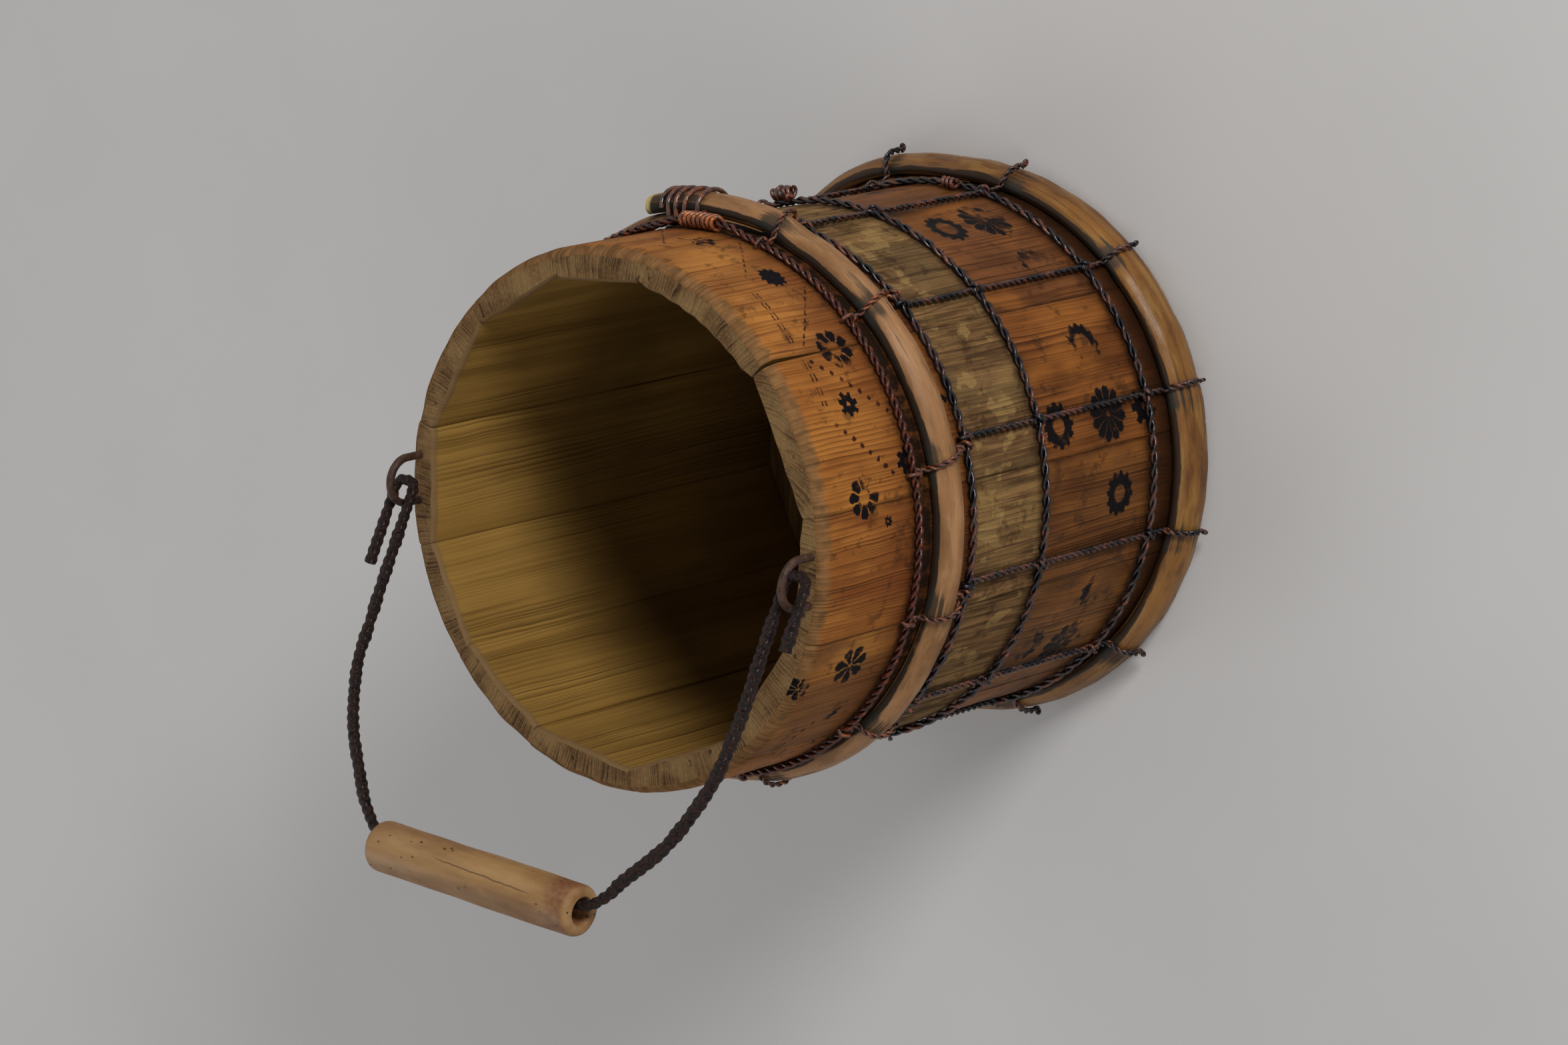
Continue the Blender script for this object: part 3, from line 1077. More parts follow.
class StrandTree:
    """The Geometry Nodes tree that lays strands round a path and roughens them."""

    def __init__(self) -> None:
        """Build the tree once."""
        e = Effect("wire strands", {"Path": ("shape", None), "Strands": ("count", 2), "Sides": ("count", 8),
                                    "Roughness": ("value", 0.00008), "Lump Size": ("value", 0.002),
                                    "Rib": ("value", 0.0),
                                    "Seed": ("value", 0.0), "Material": ("material", None)},
                   {"Wire": "shape"}, "GeometryNodeTree")
        curve = e.add("GeometryNodeMeshToCurve", {"Mesh": e.get("Path")}).outputs[0]
        copies = e.add("GeometryNodeDuplicateElements", {"Geometry": curve, "Amount": e.get("Strands")},
                       domain="SPLINE")
        share = e.calc("DIVIDE", e.calc("MULTIPLY", copies.outputs["Duplicate Index"], 2 * math.pi), e.get("Strands"))
        turn = e.calc("ADD", self.named(e, "turn"), share)
        side = self.named(e, "across", "FLOAT_VECTOR")
        tangent = e.add("GeometryNodeInputTangent").outputs[0]
        out = e.vector("CROSS_PRODUCT", tangent, side)
        offset = self.named(e, "offset")
        shift = e.vector("ADD", self.scaled(e, side, e.product(offset, e.calc("COSINE", turn))),
                         self.scaled(e, out, e.product(offset, e.calc("SINE", turn))))
        marked = self.store(e, copies.outputs["Geometry"], "aside", shift, "FLOAT_VECTOR")
        moved = e.add("GeometryNodeSetPosition", {"Geometry": marked, "Offset": shift}).outputs[0]
        sized = e.add("GeometryNodeSetCurveRadius", {"Curve": moved, "Radius": self.named(e, "thickness")}).outputs[0]
        profile = e.add("GeometryNodeCurvePrimitiveCircle", {"Resolution": e.get("Sides"), "Radius": 1.0}).outputs[0]
        round_turn = e.calc("DIVIDE", e.calc("MULTIPLY", e.add("GeometryNodeInputIndex").outputs[0], 2 * math.pi),
                            e.get("Sides"))
        profile = self.store(e, profile, "round", round_turn)
        sweep = e.add("GeometryNodeCurveToMesh", {"Curve": sized, "Profile Curve": profile, "Fill Caps": True})
        if "Scale" in sweep.inputs:
            e.feed(sweep.inputs["Scale"], e.add("GeometryNodeInputRadius").outputs[0])
        where = e.add("GeometryNodeInputPosition").outputs[0]
        lump = e.add("ShaderNodeTexNoise", {"Vector": where, "W": e.get("Seed"), "Detail": 3.0,
                                            "Scale": e.calc("DIVIDE", 1.0, e.get("Lump Size"))},
                     noise_dimensions="4D").outputs[0]
        push = e.product(e.calc("SUBTRACT", lump, 0.62), 3.0, e.get("Roughness"))
        twist = e.calc("MULTIPLY", e.calc("SUBTRACT", self.named(e, "round"), self.named(e, "turn")), 2.0)
        push = e.calc("MULTIPLY_ADD", e.calc("MULTIPLY_ADD", e.calc("COSINE", twist), 0.5, -0.5), e.get("Rib"), push)
        normal = e.add("GeometryNodeInputNormal").outputs[0]
        inwards = e.vector("NORMALIZE", self.named(e, "aside", "FLOAT_VECTOR"))
        groove = e.calc("MULTIPLY", e.vector("DOT_PRODUCT", normal, inwards), -1.0)
        marked = self.store(e, sweep.outputs[0], "groove", groove)
        rough = e.add("GeometryNodeSetPosition", {"Geometry": marked,
                                                  "Offset": self.scaled(e, normal, push)}).outputs[0]
        shaded = e.add("GeometryNodeSetShadeSmooth", {"Geometry": rough}).outputs[0]
        solid = e.add("GeometryNodeRealizeInstances", {"Geometry": shaded}).outputs[0]
        e.put("Wire", e.add("GeometryNodeSetMaterial", {"Geometry": solid, "Material": e.get("Material")}).outputs[0])
        self.tree = e.tree

    @staticmethod
    def named(e: Effect, name: str, kind: str = "FLOAT") -> Socket:
        """Read a value of the path by its name."""
        return e.add("GeometryNodeInputNamedAttribute", {"Name": name}, data_type=kind).outputs["Attribute"]

    @staticmethod
    def store(e: Effect, shape: Socket, name: str, value: Socket, kind: str = "FLOAT") -> Socket:
        """Keep a value on the points of a shape, under a name."""
        node = e.add("GeometryNodeStoreNamedAttribute", {"Geometry": shape, "Name": name}, data_type=kind,
                     domain="POINT")
        e.feed(next(i for i in node.inputs if i.name == "Value" and i.enabled), value)
        return node.outputs[0]

    @staticmethod
    def scaled(e: Effect, vector: Socket, factor: Socket) -> Socket:
        """Scale a vector by a value."""
        return e.add("ShaderNodeVectorMath", {0: vector, "Scale": factor}, operation="SCALE").outputs["Vector"]

    def make(self, name: str, path: Path, material: bpy.types.Material, **settings: float) -> bpy.types.Object:
        """Lay strands round a path and keep the result as a plain mesh.

        Args:
            name: The piece's name.
            path: The line and how the strands lie.
            material: The wire's finish.
            settings: Values for the tree's inputs, by their names with underscores for spaces.

        Returns:
            The finished piece.
        """
        count = len(path.points)
        edges = [(i, i + 1) for i in range(count - 1) if i + 1 not in path.starts]
        edges += [(count - 1, 0)] if path.closed else []
        line = bpy.data.meshes.new(name + "_path")
        line.from_pydata((path.points * MM).tolist(), edges, [])
        for key, values in (("turn", path.turn), ("offset", path.offset * MM), ("thickness", path.radius * MM)):
            set_value(line, key, values)
        across = line.attributes.new("across", "FLOAT_VECTOR", "POINT")
        across.data.foreach_set("vector", path.across.astype(np.float32).ravel())
        carrier = bpy.data.objects.new(name + "_carrier", line)
        bpy.context.scene.collection.objects.link(carrier)
        modifier = carrier.modifiers.new("strands", "NODES")
        modifier.node_group = self.tree
        chosen = {"Material": material, **{k.replace("_", " "): v for k, v in settings.items()}}
        for item in self.tree.interface.items_tree:
            if item.in_out == "INPUT" and item.name in chosen:
                modifier[item.identifier] = chosen[item.name]
        bpy.context.view_layer.update()
        seen = carrier.evaluated_get(bpy.context.evaluated_depsgraph_get())
        mesh = bpy.data.meshes.new_from_object(seen)
        mesh.name = name
        for key in ("turn", "offset", "thickness", "across", "aside", "round"):
            if key in mesh.attributes:
                mesh.attributes.remove(mesh.attributes[key])
        bpy.data.objects.remove(carrier)
        piece = bpy.data.objects.new(name, mesh)
        bpy.context.scene.collection.objects.link(piece)
        return piece


class Side(Enum):
    """The six sides of a skin over a lattice, in the order in which they are laid."""

    START = 0
    END = 1
    FOOT = 2
    TOP = 3
    INNER = 4
    OUTER = 5


def lattice_skin(lattice: Array) -> tuple[Array, Array, Array, Array]:
    """Lay a closed skin over a block of points.

    Args:
        lattice: Points in millimetres, counted along, upwards and outwards.

    Returns:
        The skin's points, its four-sided faces, each face's side, and each point's place in the block.
    """
    on = np.zeros(lattice.shape[:3], bool)
    on[[0, -1]] = on[:, [0, -1]] = on[:, :, [0, -1]] = True
    index = np.full(on.shape, -1)
    index[on] = np.arange(on.sum())
    faces, sides = [], []
    for axis in range(3):
        for end in (0, -1):
            sheet = np.take(index, end, axis)
            quads = np.stack([sheet[:-1, :-1], sheet[1:, :-1], sheet[1:, 1:], sheet[:-1, 1:]], -1).reshape(-1, 4)
            faces.append(quads[:, ::-1] if (end == 0) != (axis == 1) else quads)
            sides.append(np.full(len(quads), 2 * axis + (end == -1)))
    faces = np.concatenate(faces)
    points = lattice[on]
    if enclosed(points, faces) < 0:
        faces = faces[:, ::-1]
    return points, faces, np.concatenate(sides), np.argwhere(on)


def enclosed(points: Array, faces: Array) -> float:
    """Six times the space inside a closed skin of four-sided faces, negative where it is inside out."""
    a, b, c, d = (points[faces[:, k]] for k in range(4))
    return float(np.einsum("ij,ij->i", a, np.cross(b, c)).sum() + np.einsum("ij,ij->i", a, np.cross(c, d)).sum())


def mesh_of(name: str, points: Array, faces: Sequence[Sequence[int]], crease: float = 38.0) -> bpy.types.Mesh:
    """Make a smooth mesh with sharp creases.

    Args:
        name: The mesh's name.
        points: Vertices in millimetres, one in each row.
        faces: Corners of each face.
        crease: Angle in degrees above which an edge stays sharp.

    Returns:
        The mesh, in metres.
    """
    mesh = bpy.data.meshes.new(name)
    mesh.from_pydata((points * MM).tolist(), [], [list(map(int, f)) for f in faces])
    mesh.polygons.foreach_set("use_smooth", np.ones(len(faces), bool))
    mesh.set_sharp_from_angle(angle=math.radians(crease))
    return mesh


@dataclass(frozen=True)
class NetForm:
    """The driving sizes of hoops, rings and wires, as the solids have them, with what follows from them."""

    ring_d: float = 3.8
    ring_z: tuple[float, ...] = (213, 175, 122, 39)
    lace_d: float = 3.2
    strand_d: float = 1.7
    tie_d: float = 2.8
    seat_gap: float = 0.1
    clear: float = 0.1
    hop_lead: float = 3.0
    lace_count: int = 12
    lace_first: float = 20.5
    lace_end: float = 3.4
    curl_r: float = 1.2
    tie_count: int = 12
    tie_first: float = 18.9
    tie_skew: float = 3.2
    tie_shifts: tuple[float, ...] = (0, 4.1, -0.1, 0, -0.5, 3.6, -0.3, -1, 3.5, -0.6, -0.2, -0.3)
    wind_d: float = 2.2
    wind_turns: int = 5
    wind_angle: tuple[float, ...] = (94.3, 96.1, 99.4, 101.7, 103.6, 105.3)
    wind_square: float = 0.3
    edge_share: float = 0.27
    splice_d: float = 1.9
    splice_turns: int = 8
    splice_mid: float = 91.7
    splice_gap: float = 0.6
    lap_gap: float = 0.2
    hoop_steps: int = 66

    @property
    def ring_u(self) -> float:
        """Distance of a ring's middle from the staves."""
        return self.ring_d / 2 + self.seat_gap

    @property
    def wind_lift(self) -> float:
        """Room that the winding needs under the upper hoop."""
        return self.wind_d + 2 * self.clear

    @property
    def splice_r(self) -> float:
        """Radius of the coil on the first ring."""
        return self.ring_d / 2 + self.splice_d / 2 + self.clear

    @property
    def splice_span(self) -> float:
        """Angle that the coil covers."""
        return math.degrees(self.splice_turns * (self.splice_d + self.splice_gap) / FORM.radius(self.ring_z[0]))

    def ring_lift(self, angle: Array) -> Array:
        """How far the first ring rises over its coil."""
        rise = self.splice_r + self.splice_d / 2 + self.clear - self.ring_u
        return rise * (1 - smooth((np.abs(angle - self.splice_mid) - self.splice_span / 2 - 1) / 7))

    def lace_angles(self) -> list[float]:
        """Angles of the lengthwise wires."""
        return [self.lace_first + 360 * k / self.lace_count for k in range(self.lace_count)]

    def tie_angles(self) -> list[float]:
        """Angles of the ties' upper ends, without those under the winding and the lap's end."""
        lap = UPPER.lap
        angles = [self.tie_first + 360 * k / self.tie_count + self.tie_shifts[k] for k in range(self.tie_count)]
        return [a for a in angles if (a - lap.outer_end + lap.length) % 360 > lap.length + self.tie_skew]


@dataclass(frozen=True)
class Lap:
    """How the ends of a hoop overlap, in degrees, and how much of it is left at a tip."""

    outer_end: float
    length: float
    thinned: float
    lead: float
    tip: float


@dataclass(frozen=True)
class HoopForm:
    """A split sapling bent round the staves, with thinned ends that lap."""

    width: float
    thickness: float
    height: float
    lap: Lap
    lift: float = 0.0
    tip_narrow: float = 0.1

    @property
    def seat(self) -> float:
        """How far the hoop's flat side stands off the staves."""
        half = math.radians((360 + self.lap.length) / NET.hoop_steps / 2)
        return NET.seat_gap + FORM.base_r * (1 / math.cos(half) - 1)

    def share(self, s: Array | float) -> Array:
        """Share of the full thickness, s degrees from a tip."""
        return self.lap.tip + (1 - self.lap.tip) * smooth(s / self.lap.thinned)

    def outer_lift(self, s: Array | float) -> Array:
        """How far the outer end lies above the inner one."""
        return self.lift + self.thickness * self.share(s) + NET.lap_gap

    def lifts(self, s: Array) -> Array:
        """How far the flat side lies above its seat, s degrees from the inner tip."""
        s = np.asarray(s, float)
        rising = self.outer_lift(0) * smooth((s - 360 + self.lap.lead) / self.lap.lead)
        plain = self.lift * (1 - smooth((s - self.lap.length) / 12))
        return np.where(s > 360, self.outer_lift(s - 360), np.where(s > 360 - self.lap.lead, rising, plain))

    def top(self, angle: float) -> float:
        """How far the hoop's crown stands off the staves at an angle."""
        s = (angle - self.lap.outer_end + self.lap.length) % 360
        return self.seat + float(self.lifts(s + 360 if s < self.lap.length else s)) + self.thickness

    def section(self, thickness: float, width: float, arcs: int) -> Array:
        """Half-round section, as distance off the flat side and place across, from edge to edge."""
        e = NET.edge_share * thickness
        turn = np.radians(np.linspace(-90, 90, arcs))
        crown = np.stack([e + (thickness - e) * np.cos(turn), width / 2 * np.sin(turn)], axis=-1)
        low = [[0, -width / 2 + 0.9 * e], [0.15 * e, -width / 2 + 0.55 * e], [0.4 * e, -width / 2 + 0.3 * e],
               [0.7 * e, -width / 2 + 0.1 * e]]
        high = [[u, -v] for u, v in reversed(low)]
        return np.concatenate([low, crown, high])


NET = NetForm()
UPPER = HoopForm(17, 9, 194.5, Lap(110, 30, 60, 9, 0.05), NET.wind_lift)
LOWER = HoopForm(23.4, 9.5, 12.0, Lap(142, 52, 36, 14, 0.04))


MARKS = (
    Stamp(-22.7, 241.3, 9.8, StampKind.PETALS, 20, 0.22), Stamp(13.5, 244.7, 9.5, StampKind.LEAVES, 5, 0.3),
    Stamp(7.7, 230.7, 2.7, StampKind.FLOWER, 0, 0.25), Stamp(32.3, 238.7, 5.9, StampKind.FLOWER, 30, 0.1),
    Stamp(18.7, 213.5, 6.2, StampKind.FLOWER, 0, 0.2), Stamp(44.4, 229.7, 9.9, StampKind.LEAVES, 22, 0.22),
    Stamp(65.3, 229.0, 6.7, StampKind.BLOT, 10, 0.05), Stamp(85.3, 232.7, 9.0, StampKind.PETALS, 0, 0.4),
    Stamp(26, 181, 3.4, StampKind.FLOWER, 0, 0.45), Stamp(29.6, 177, 3.2, StampKind.BLOT, 0, 0.45),
    Stamp(18.2, 105, 10.9, StampKind.COG, 0, 0.2), Stamp(18.3, 67.4, 13.0, StampKind.WHEEL, 11, 0.15),
    Stamp(18.2, 39.5, 9.6, StampKind.FLOWER, 15, 0.3), Stamp(1.1, 63.4, 10.5, StampKind.COG, 8, 0.15),
    Stamp(33.7, 69, 10.8, StampKind.WIDE_COG, 4, 0.36), Stamp(70.1, 94.4, 10.9, StampKind.WIDE_COG, 0, 0.18),
    Stamp(70.4, 64.6, 13.8, StampKind.WHEEL, 5, 0.3), Stamp(54.4, 65, 10.4, StampKind.COG, 2, 0.5),
    Stamp(-20.3, 67, 10.6, StampKind.COG, 6, 0.46), Stamp(-35.4, 69, 14.0, StampKind.WHEEL, 0, 0.3),
    Stamp(-33.5, 99, 10.4, StampKind.COG, 0, 0.4), Stamp(69.5, 39, 9.5, StampKind.FLOWER, 15, 0.4),
    Stamp(-26.0, 271.0, 6.0, StampKind.PETALS, 20, 0.3), Stamp(-36.9, 233.7, 5.0, StampKind.FLOWER, 10, 0.4),
)
BACK_MARKS = tuple(
    Stamp(a, z, r, kind, turn, wear) for a, z, r, kind, turn, wear in (
        (113, 240, 9.2, StampKind.PETALS, 12, 0.36), (121, 229, 6.4, StampKind.BLOT, 3, 0.3),
        (151, 241, 9.4, StampKind.LEAVES, 8, 0.35), (181, 238, 6.0, StampKind.FLOWER, 10, 0.3),
        (209, 241, 9.0, StampKind.PETALS, 10, 0.38), (235, 230, 6.5, StampKind.BLOT, 0, 0.3),
        (263, 240, 9.3, StampKind.LEAVES, 5, 0.4), (294, 237, 6.0, StampKind.FLOWER, 20, 0.35),
        (97, 66, 10.6, StampKind.COG, 5, 0.35), (122, 104, 10.8, StampKind.COG, 9, 0.3),
        (122, 66, 13.4, StampKind.WHEEL, 0, 0.32), (151, 67, 10.6, StampKind.WIDE_COG, 3, 0.38),
        (182, 103, 10.8, StampKind.COG, 7, 0.3), (182, 66, 13.2, StampKind.WHEEL, 12, 0.25),
        (209, 68, 10.4, StampKind.COG, 2, 0.47), (235, 101, 10.7, StampKind.WIDE_COG, 5, 0.3),
        (236, 66, 13.5, StampKind.WHEEL, 3, 0.35), (264, 67, 10.5, StampKind.COG, 8, 0.3),
        (294, 102, 10.8, StampKind.COG, 0, 0.35), (295, 65, 13.4, StampKind.WHEEL, 6, 0.3)))
DOUBLE = dict(pitch=6.6, stroke=4.3, thickness=0.85, apart=2.2)
SINGLE = dict(pitch=5.2, stroke=3.4, thickness=0.9)
DOTS = dict(pitch=5.3, stroke=2.0, thickness=2.0, wear=0.1)
ROWS = (
    DashRow((47, 252), (62.4, 248.6), **DOUBLE), DashRow((43.7, 251.2), (33, 253.2), **DOUBLE),
    DashRow((66.3, 244), (80.4, 215.4), **SINGLE), DashRow((46, 247.2), (60.8, 217.4), **SINGLE),
    DashRow((43.4, 249.9), (28.7, 215.2), **DOTS), DashRow((29.4, 252.8), (16.3, 222), **DOTS),
    DashRow((-38, 241), (-48, 258), **DOTS),
)
BACK_ROWS = tuple(
    DashRow((a, 249), (a + 14 * side, 217), **style)
    for a, side, style in ((87, 1, SINGLE), (137, -1, SINGLE), (141, 1, DOTS), (178, -1, DOTS), (187, 1, SINGLE),
                           (232, -1, DOTS), (243, 1, SINGLE), (289, -1, SINGLE), (300, 1, DOTS)))


@dataclass(frozen=True)
class StaveLook:
    """How one stave differs from the others: colours, grain, settling and wear."""

    tone: str
    deep: str
    line: str
    foot: str
    foot_deep: str
    ring_width: float
    end_turn: float
    set_in: float = 0.0
    top_drop: float = 0.0


STAVES = (
    StaveLook("9F672E", "814C21", "522A11", "824E24", "5E3516", 2.3, 50, 0.0, 0.1),
    StaveLook("996431", "7A4822", "562E15", "744727", "553219", 2.6, 9, 0.1, 0.0),
    StaveLook("9C652E", "7C4A22", "542B12", "7C4C25", "5A3617", 2.2, 5, 0.3, 0.5),
    StaveLook("98622F", "784822", "522A12", "784924", "573417", 2.4, 14, 0.1, 0.1),
    StaveLook("9C662E", "7D4B22", "542C12", "7C4B23", "5A3516", 2.0, -6, 0.2, 0.2),
    StaveLook("955E2C", "74441F", "4E2710", "754622", "543016", 2.3, 4, 0.0, 0.0),
    StaveLook("9E6830", "7F4C23", "552D13", "7E4D25", "5B3718", 2.2, 10, 0.2, 0.2),
    StaveLook("98602E", "764620", "502911", "764722", "553216", 2.1, -3, 0.1, 0.3),
    StaveLook("9D662F", "7E4B22", "542C12", "7C4C24", "5A3617", 2.4, 6, 0.0, 0.1),
    StaveLook("9A632E", "7A4922", "522A11", "794A23", "583416", 2.2, 2, 0.1, 0.2),
    StaveLook("81552C", "623C1D", "44240D", "774E27", "58371C", 2.0, 3, 0.2, 0.1),
    StaveLook("8D5727", "6A3918", "431F0D", "724822", "523016", 1.8, 8, 0.1, 0.2),
)


@dataclass
class Wall:
    """The twelve staves, each a closed block from joint to joint."""

    step: float = 1.6
    edge_round: float = 0.5
    crack_joint: int = 1
    crack_width: float = 1.9
    crack_depth: float = 42.0
    thickness_steps: tuple[float, ...] = (0, 0.12, 0.3, 0.5, 0.7, 0.86, 0.95, 1)

    def levels(self) -> Array:
        """Heights of the rows, closer at the foot, the groove and the rim."""
        rim = [266, 267.5, 268.5, 269.6, 270.7, 271.7, 272.5, 273.2, 273.7, 274]
        groove = [17.8, 18.9, 20.9, 22.5, 26.5, 28.3, 30.2, 31.2]
        low = [0, 0.4, 1.2, 3, 6, 10, 14]
        return np.array(low + groove + list(np.linspace(33, 264.5, round(231.5 / self.step))) + rim)

    def angles(self, index: int) -> Array:
        """Angles of the columns of a stave, closer at its joints."""
        span = FORM.arcs[index]
        mm = math.degrees(1 / FORM.mean_r)
        edge = np.array([0, 0.35, 0.9, 1.8]) * mm
        middle = np.linspace(3.2 * mm, span - 3.2 * mm, max(4, round(span / mm / self.step)))
        return FORM.joint(index) + np.concatenate([edge, middle, span - edge[::-1]])

    def outer(self, index: int, a: Array, z: Array) -> Array:
        """Radius of the outer face, with its worn bevel, slight waves and eased joints."""
        look = STAVES[index]
        r = FORM.radius(z) + 0.0 * a
        t = np.clip((z - (FORM.height - FORM.bevel_h)) / FORM.bevel_h, 0, 1)
        worn = 0.35 * ripple(np.radians(a) * 121, 0 * z + 9.0 * index, 45, 5)
        curve = 0.35 * t + 0.65 * (1 - np.sqrt(np.clip(1 - t * t, 0, 1)))
        r = r - (FORM.bevel_w + worn) * curve
        wave = 0.5 + 0.5 * ripple(np.radians(a) * 121, z * 0.22, 17, 11 + index)
        bound = sum(np.exp(-((z - ring) / 4.0) ** 2) for ring in NET.ring_z)
        r = r - (0.38 * wave + look.set_in) * (1 - 0.85 * bound)
        mm = math.degrees(1 / FORM.mean_r)
        near = np.minimum(a - FORM.joint(index), FORM.joint(index) + FORM.arcs[index] - a) / mm
        return r - self.edge_round * np.clip(1 - near / 1.4, 0, 1) ** 2

    def inner(self, index: int, a: Array, z: Array) -> Array:
        """Radius of the inner face, with its eased top edge and tool waves."""
        r = FORM.inner(index, a, z)
        wave = 0.35 * ripple(np.radians(a) * 121, z * 0.15, 13, 40 + index)
        t = np.clip((z - (FORM.height - 2.0)) / 2.0, 0, 1)
        mm = math.degrees(1 / FORM.mean_r)
        near = np.minimum(a - FORM.joint(index), FORM.joint(index) + FORM.arcs[index] - a) / mm
        return r + np.where(z > 34, wave, 0) + 1.3 * t ** 2 + 0.4 * np.clip(1 - near / 1.4, 0, 1) ** 2

    def soil(self, a: Array, z: Array, near_joint: Array) -> Array:
        """How dirty the outer face is: beside wires and hoops and along the joints."""
        dirt = 0.75 * np.exp(-near_joint / 0.8)
        for place in NET.ring_z:
            gap = np.maximum(np.abs(z - place) - NET.ring_d / 2, 0)
            dirt = np.maximum(dirt, 0.75 * np.exp(-gap / 1.6))
        for hoop, reach in ((UPPER, 2.2), (LOWER, 3.6)):
            gap = np.maximum(np.abs(z - hoop.height) - hoop.width / 2, 0)
            dirt = np.maximum(dirt, 0.9 * np.exp(-gap / reach))
        dirt = np.maximum(dirt, 1.15 * smooth((z - 200) / 3) * smooth((NET.ring_z[0] - z + 1.5) / 3))
        mm = math.degrees(1 / FORM.mean_r)
        for lace in NET.lace_angles():
            gap = np.abs((a - lace + 180) % 360 - 180) / mm - NET.lace_d / 2
            inside = (z < NET.ring_z[1]) & (z > 24)
            dirt = np.maximum(dirt, np.where(inside, 0.6 * np.exp(-np.maximum(gap, 0) / 1.3), 0))
        for tie in NET.tie_angles():
            drift = NET.tie_skew * smooth((z - NET.ring_z[1]) / (NET.ring_z[0] - NET.ring_z[1]))
            gap = np.abs((a - tie + drift + 180) % 360 - 180) / mm - NET.tie_d / 2
            inside = (z < NET.ring_z[0]) & (z > NET.ring_z[1])
            dirt = np.maximum(dirt, np.where(inside, 0.6 * np.exp(-np.maximum(gap, 0) / 1.3), 0))
        return dirt

    def stave(self, index: int, materials: Sequence[bpy.types.Material]) -> bpy.types.Object:
        """Build one stave.

        Args:
            index: Its number, from nought.
            materials: Outer, inner and end finish.

        Returns:
            The finished piece.
        """
        look = STAVES[index]
        a, z = self.angles(index), self.levels()
        w = np.array(self.thickness_steps)
        grid_a, grid_z = a[:, None] + 0 * z[None, :], z[None, :] + 0 * a[:, None]
        r_out = self.outer(index, grid_a, grid_z)
        r_in = self.inner(index, grid_a, grid_z)
        r = r_in[..., None] + (r_out - r_in)[..., None] * w
        angle = grid_a[..., None] + 0 * r
        height = grid_z[..., None] + 0 * r
        angle = self.open_crack(index, angle, height, r)
        angle = self.part_joints(index, angle, r)
        wear = 0.2 * (1 + ripple(np.radians(angle) * 121, r, 27, 70 + index)) + look.top_drop
        height = height - wear * smooth((height - 258) / 16)
        turn = np.radians(angle)
        lattice = np.stack([r * np.cos(turn), r * np.sin(turn), height], axis=-1)
        points, faces, sides, place = lattice_skin(lattice)
        mesh = mesh_of(f"stave_{index + 1:02d}_wood", points, faces)
        flat = np.stack([FORM.arc(angle), height * MM, r * MM], axis=-1)[tuple(place.T)][faces]
        pair = np.where((sides >= Side.INNER.value)[:, None, None], flat[..., [0, 1]],
                        np.where((sides >= Side.FOOT.value)[:, None, None], flat[..., [0, 2]], flat[..., [2, 1]]))
        set_map(mesh, pair)
        slots = np.select([sides == Side.OUTER.value, (sides == Side.TOP.value) | (sides == Side.FOOT.value)], [0, 2], 1)
        mesh.polygons.foreach_set("material_index", slots.astype(np.int32))
        mm = math.degrees(1 / FORM.mean_r)
        pa, pz = angle[tuple(place.T)], height[tuple(place.T)]
        near = np.minimum(pa - FORM.joint(index), FORM.joint(index) + FORM.arcs[index] - pa) / mm
        set_value(mesh, SOIL, self.soil(pa, pz, np.maximum(near, 0)))
        set_value(mesh, "seed", np.full(len(points), 3.1 * index + 1))
        set_value(mesh, "ring_turn", np.full(len(points), math.radians(look.end_turn)))
        return add_piece(f"stave_{index + 1:02d}_wood", mesh, materials)

    def open_crack(self, index: int, angle: Array, z: Array, r: Array) -> Array:
        """Pull two staves apart at the rim, most of all on the outside."""
        depth = smooth((z - (FORM.height - self.crack_depth)) / self.crack_depth)
        through = np.clip((r - (FORM.rim_r - 13)) / 12, 0.2, 1)
        gap = np.degrees(self.crack_width / 2 * depth * through / r)
        if index == self.crack_joint - 1:
            return angle - gap * smooth((angle - FORM.joint(index + 1) + 4) / 4)
        if index == self.crack_joint:
            return angle + gap * smooth((FORM.joint(index) + 4 - angle) / 4)
        return angle

    def part_joints(self, index: int, angle: Array, r: Array) -> Array:
        """Leave a hair of air between neighbours."""
        middle = FORM.joint(index) + FORM.arcs[index] / 2
        share = (angle - middle) / (FORM.arcs[index] / 2)
        return angle - np.degrees(0.09 / r) * share ** 9

    def build(self, effects: Effects) -> None:
        """Build and dress all staves."""
        inside = InsideFace("stave_inside").material(effects)
        ends = EndGrain("stave_end_grain").material(effects)
        for index, look in enumerate(STAVES):
            low, high = FORM.joint(index) - 4, FORM.joint(index) + FORM.arcs[index] + 4
            face = StaveFace(f"stave_face_{index + 1:02d}", 5.3 * index + 2, look.tone, look.deep, look.line,
                             look.foot, look.foot_deep, look.ring_width, self.near(MARKS + BACK_MARKS, low, high),
                             self.crossing(ROWS + BACK_ROWS, low, high))
            name = f"stave_{index + 1:02d}"
            hand_over(self.stave(index, [face.material(effects), inside, ends]), "bucket", "stave_pine", name)

    @staticmethod
    def near(stamps: Sequence[Stamp], low: float, high: float) -> tuple[Stamp, ...]:
        """Stamps that may touch a stave, with their angles counted as the stave's are."""
        shifted = [Stamp(s.angle + turn, s.height, s.radius, s.kind, s.turn, s.wear)
                   for s in stamps for turn in (0, 360)]
        return tuple(s for s in shifted if low < s.angle < high)

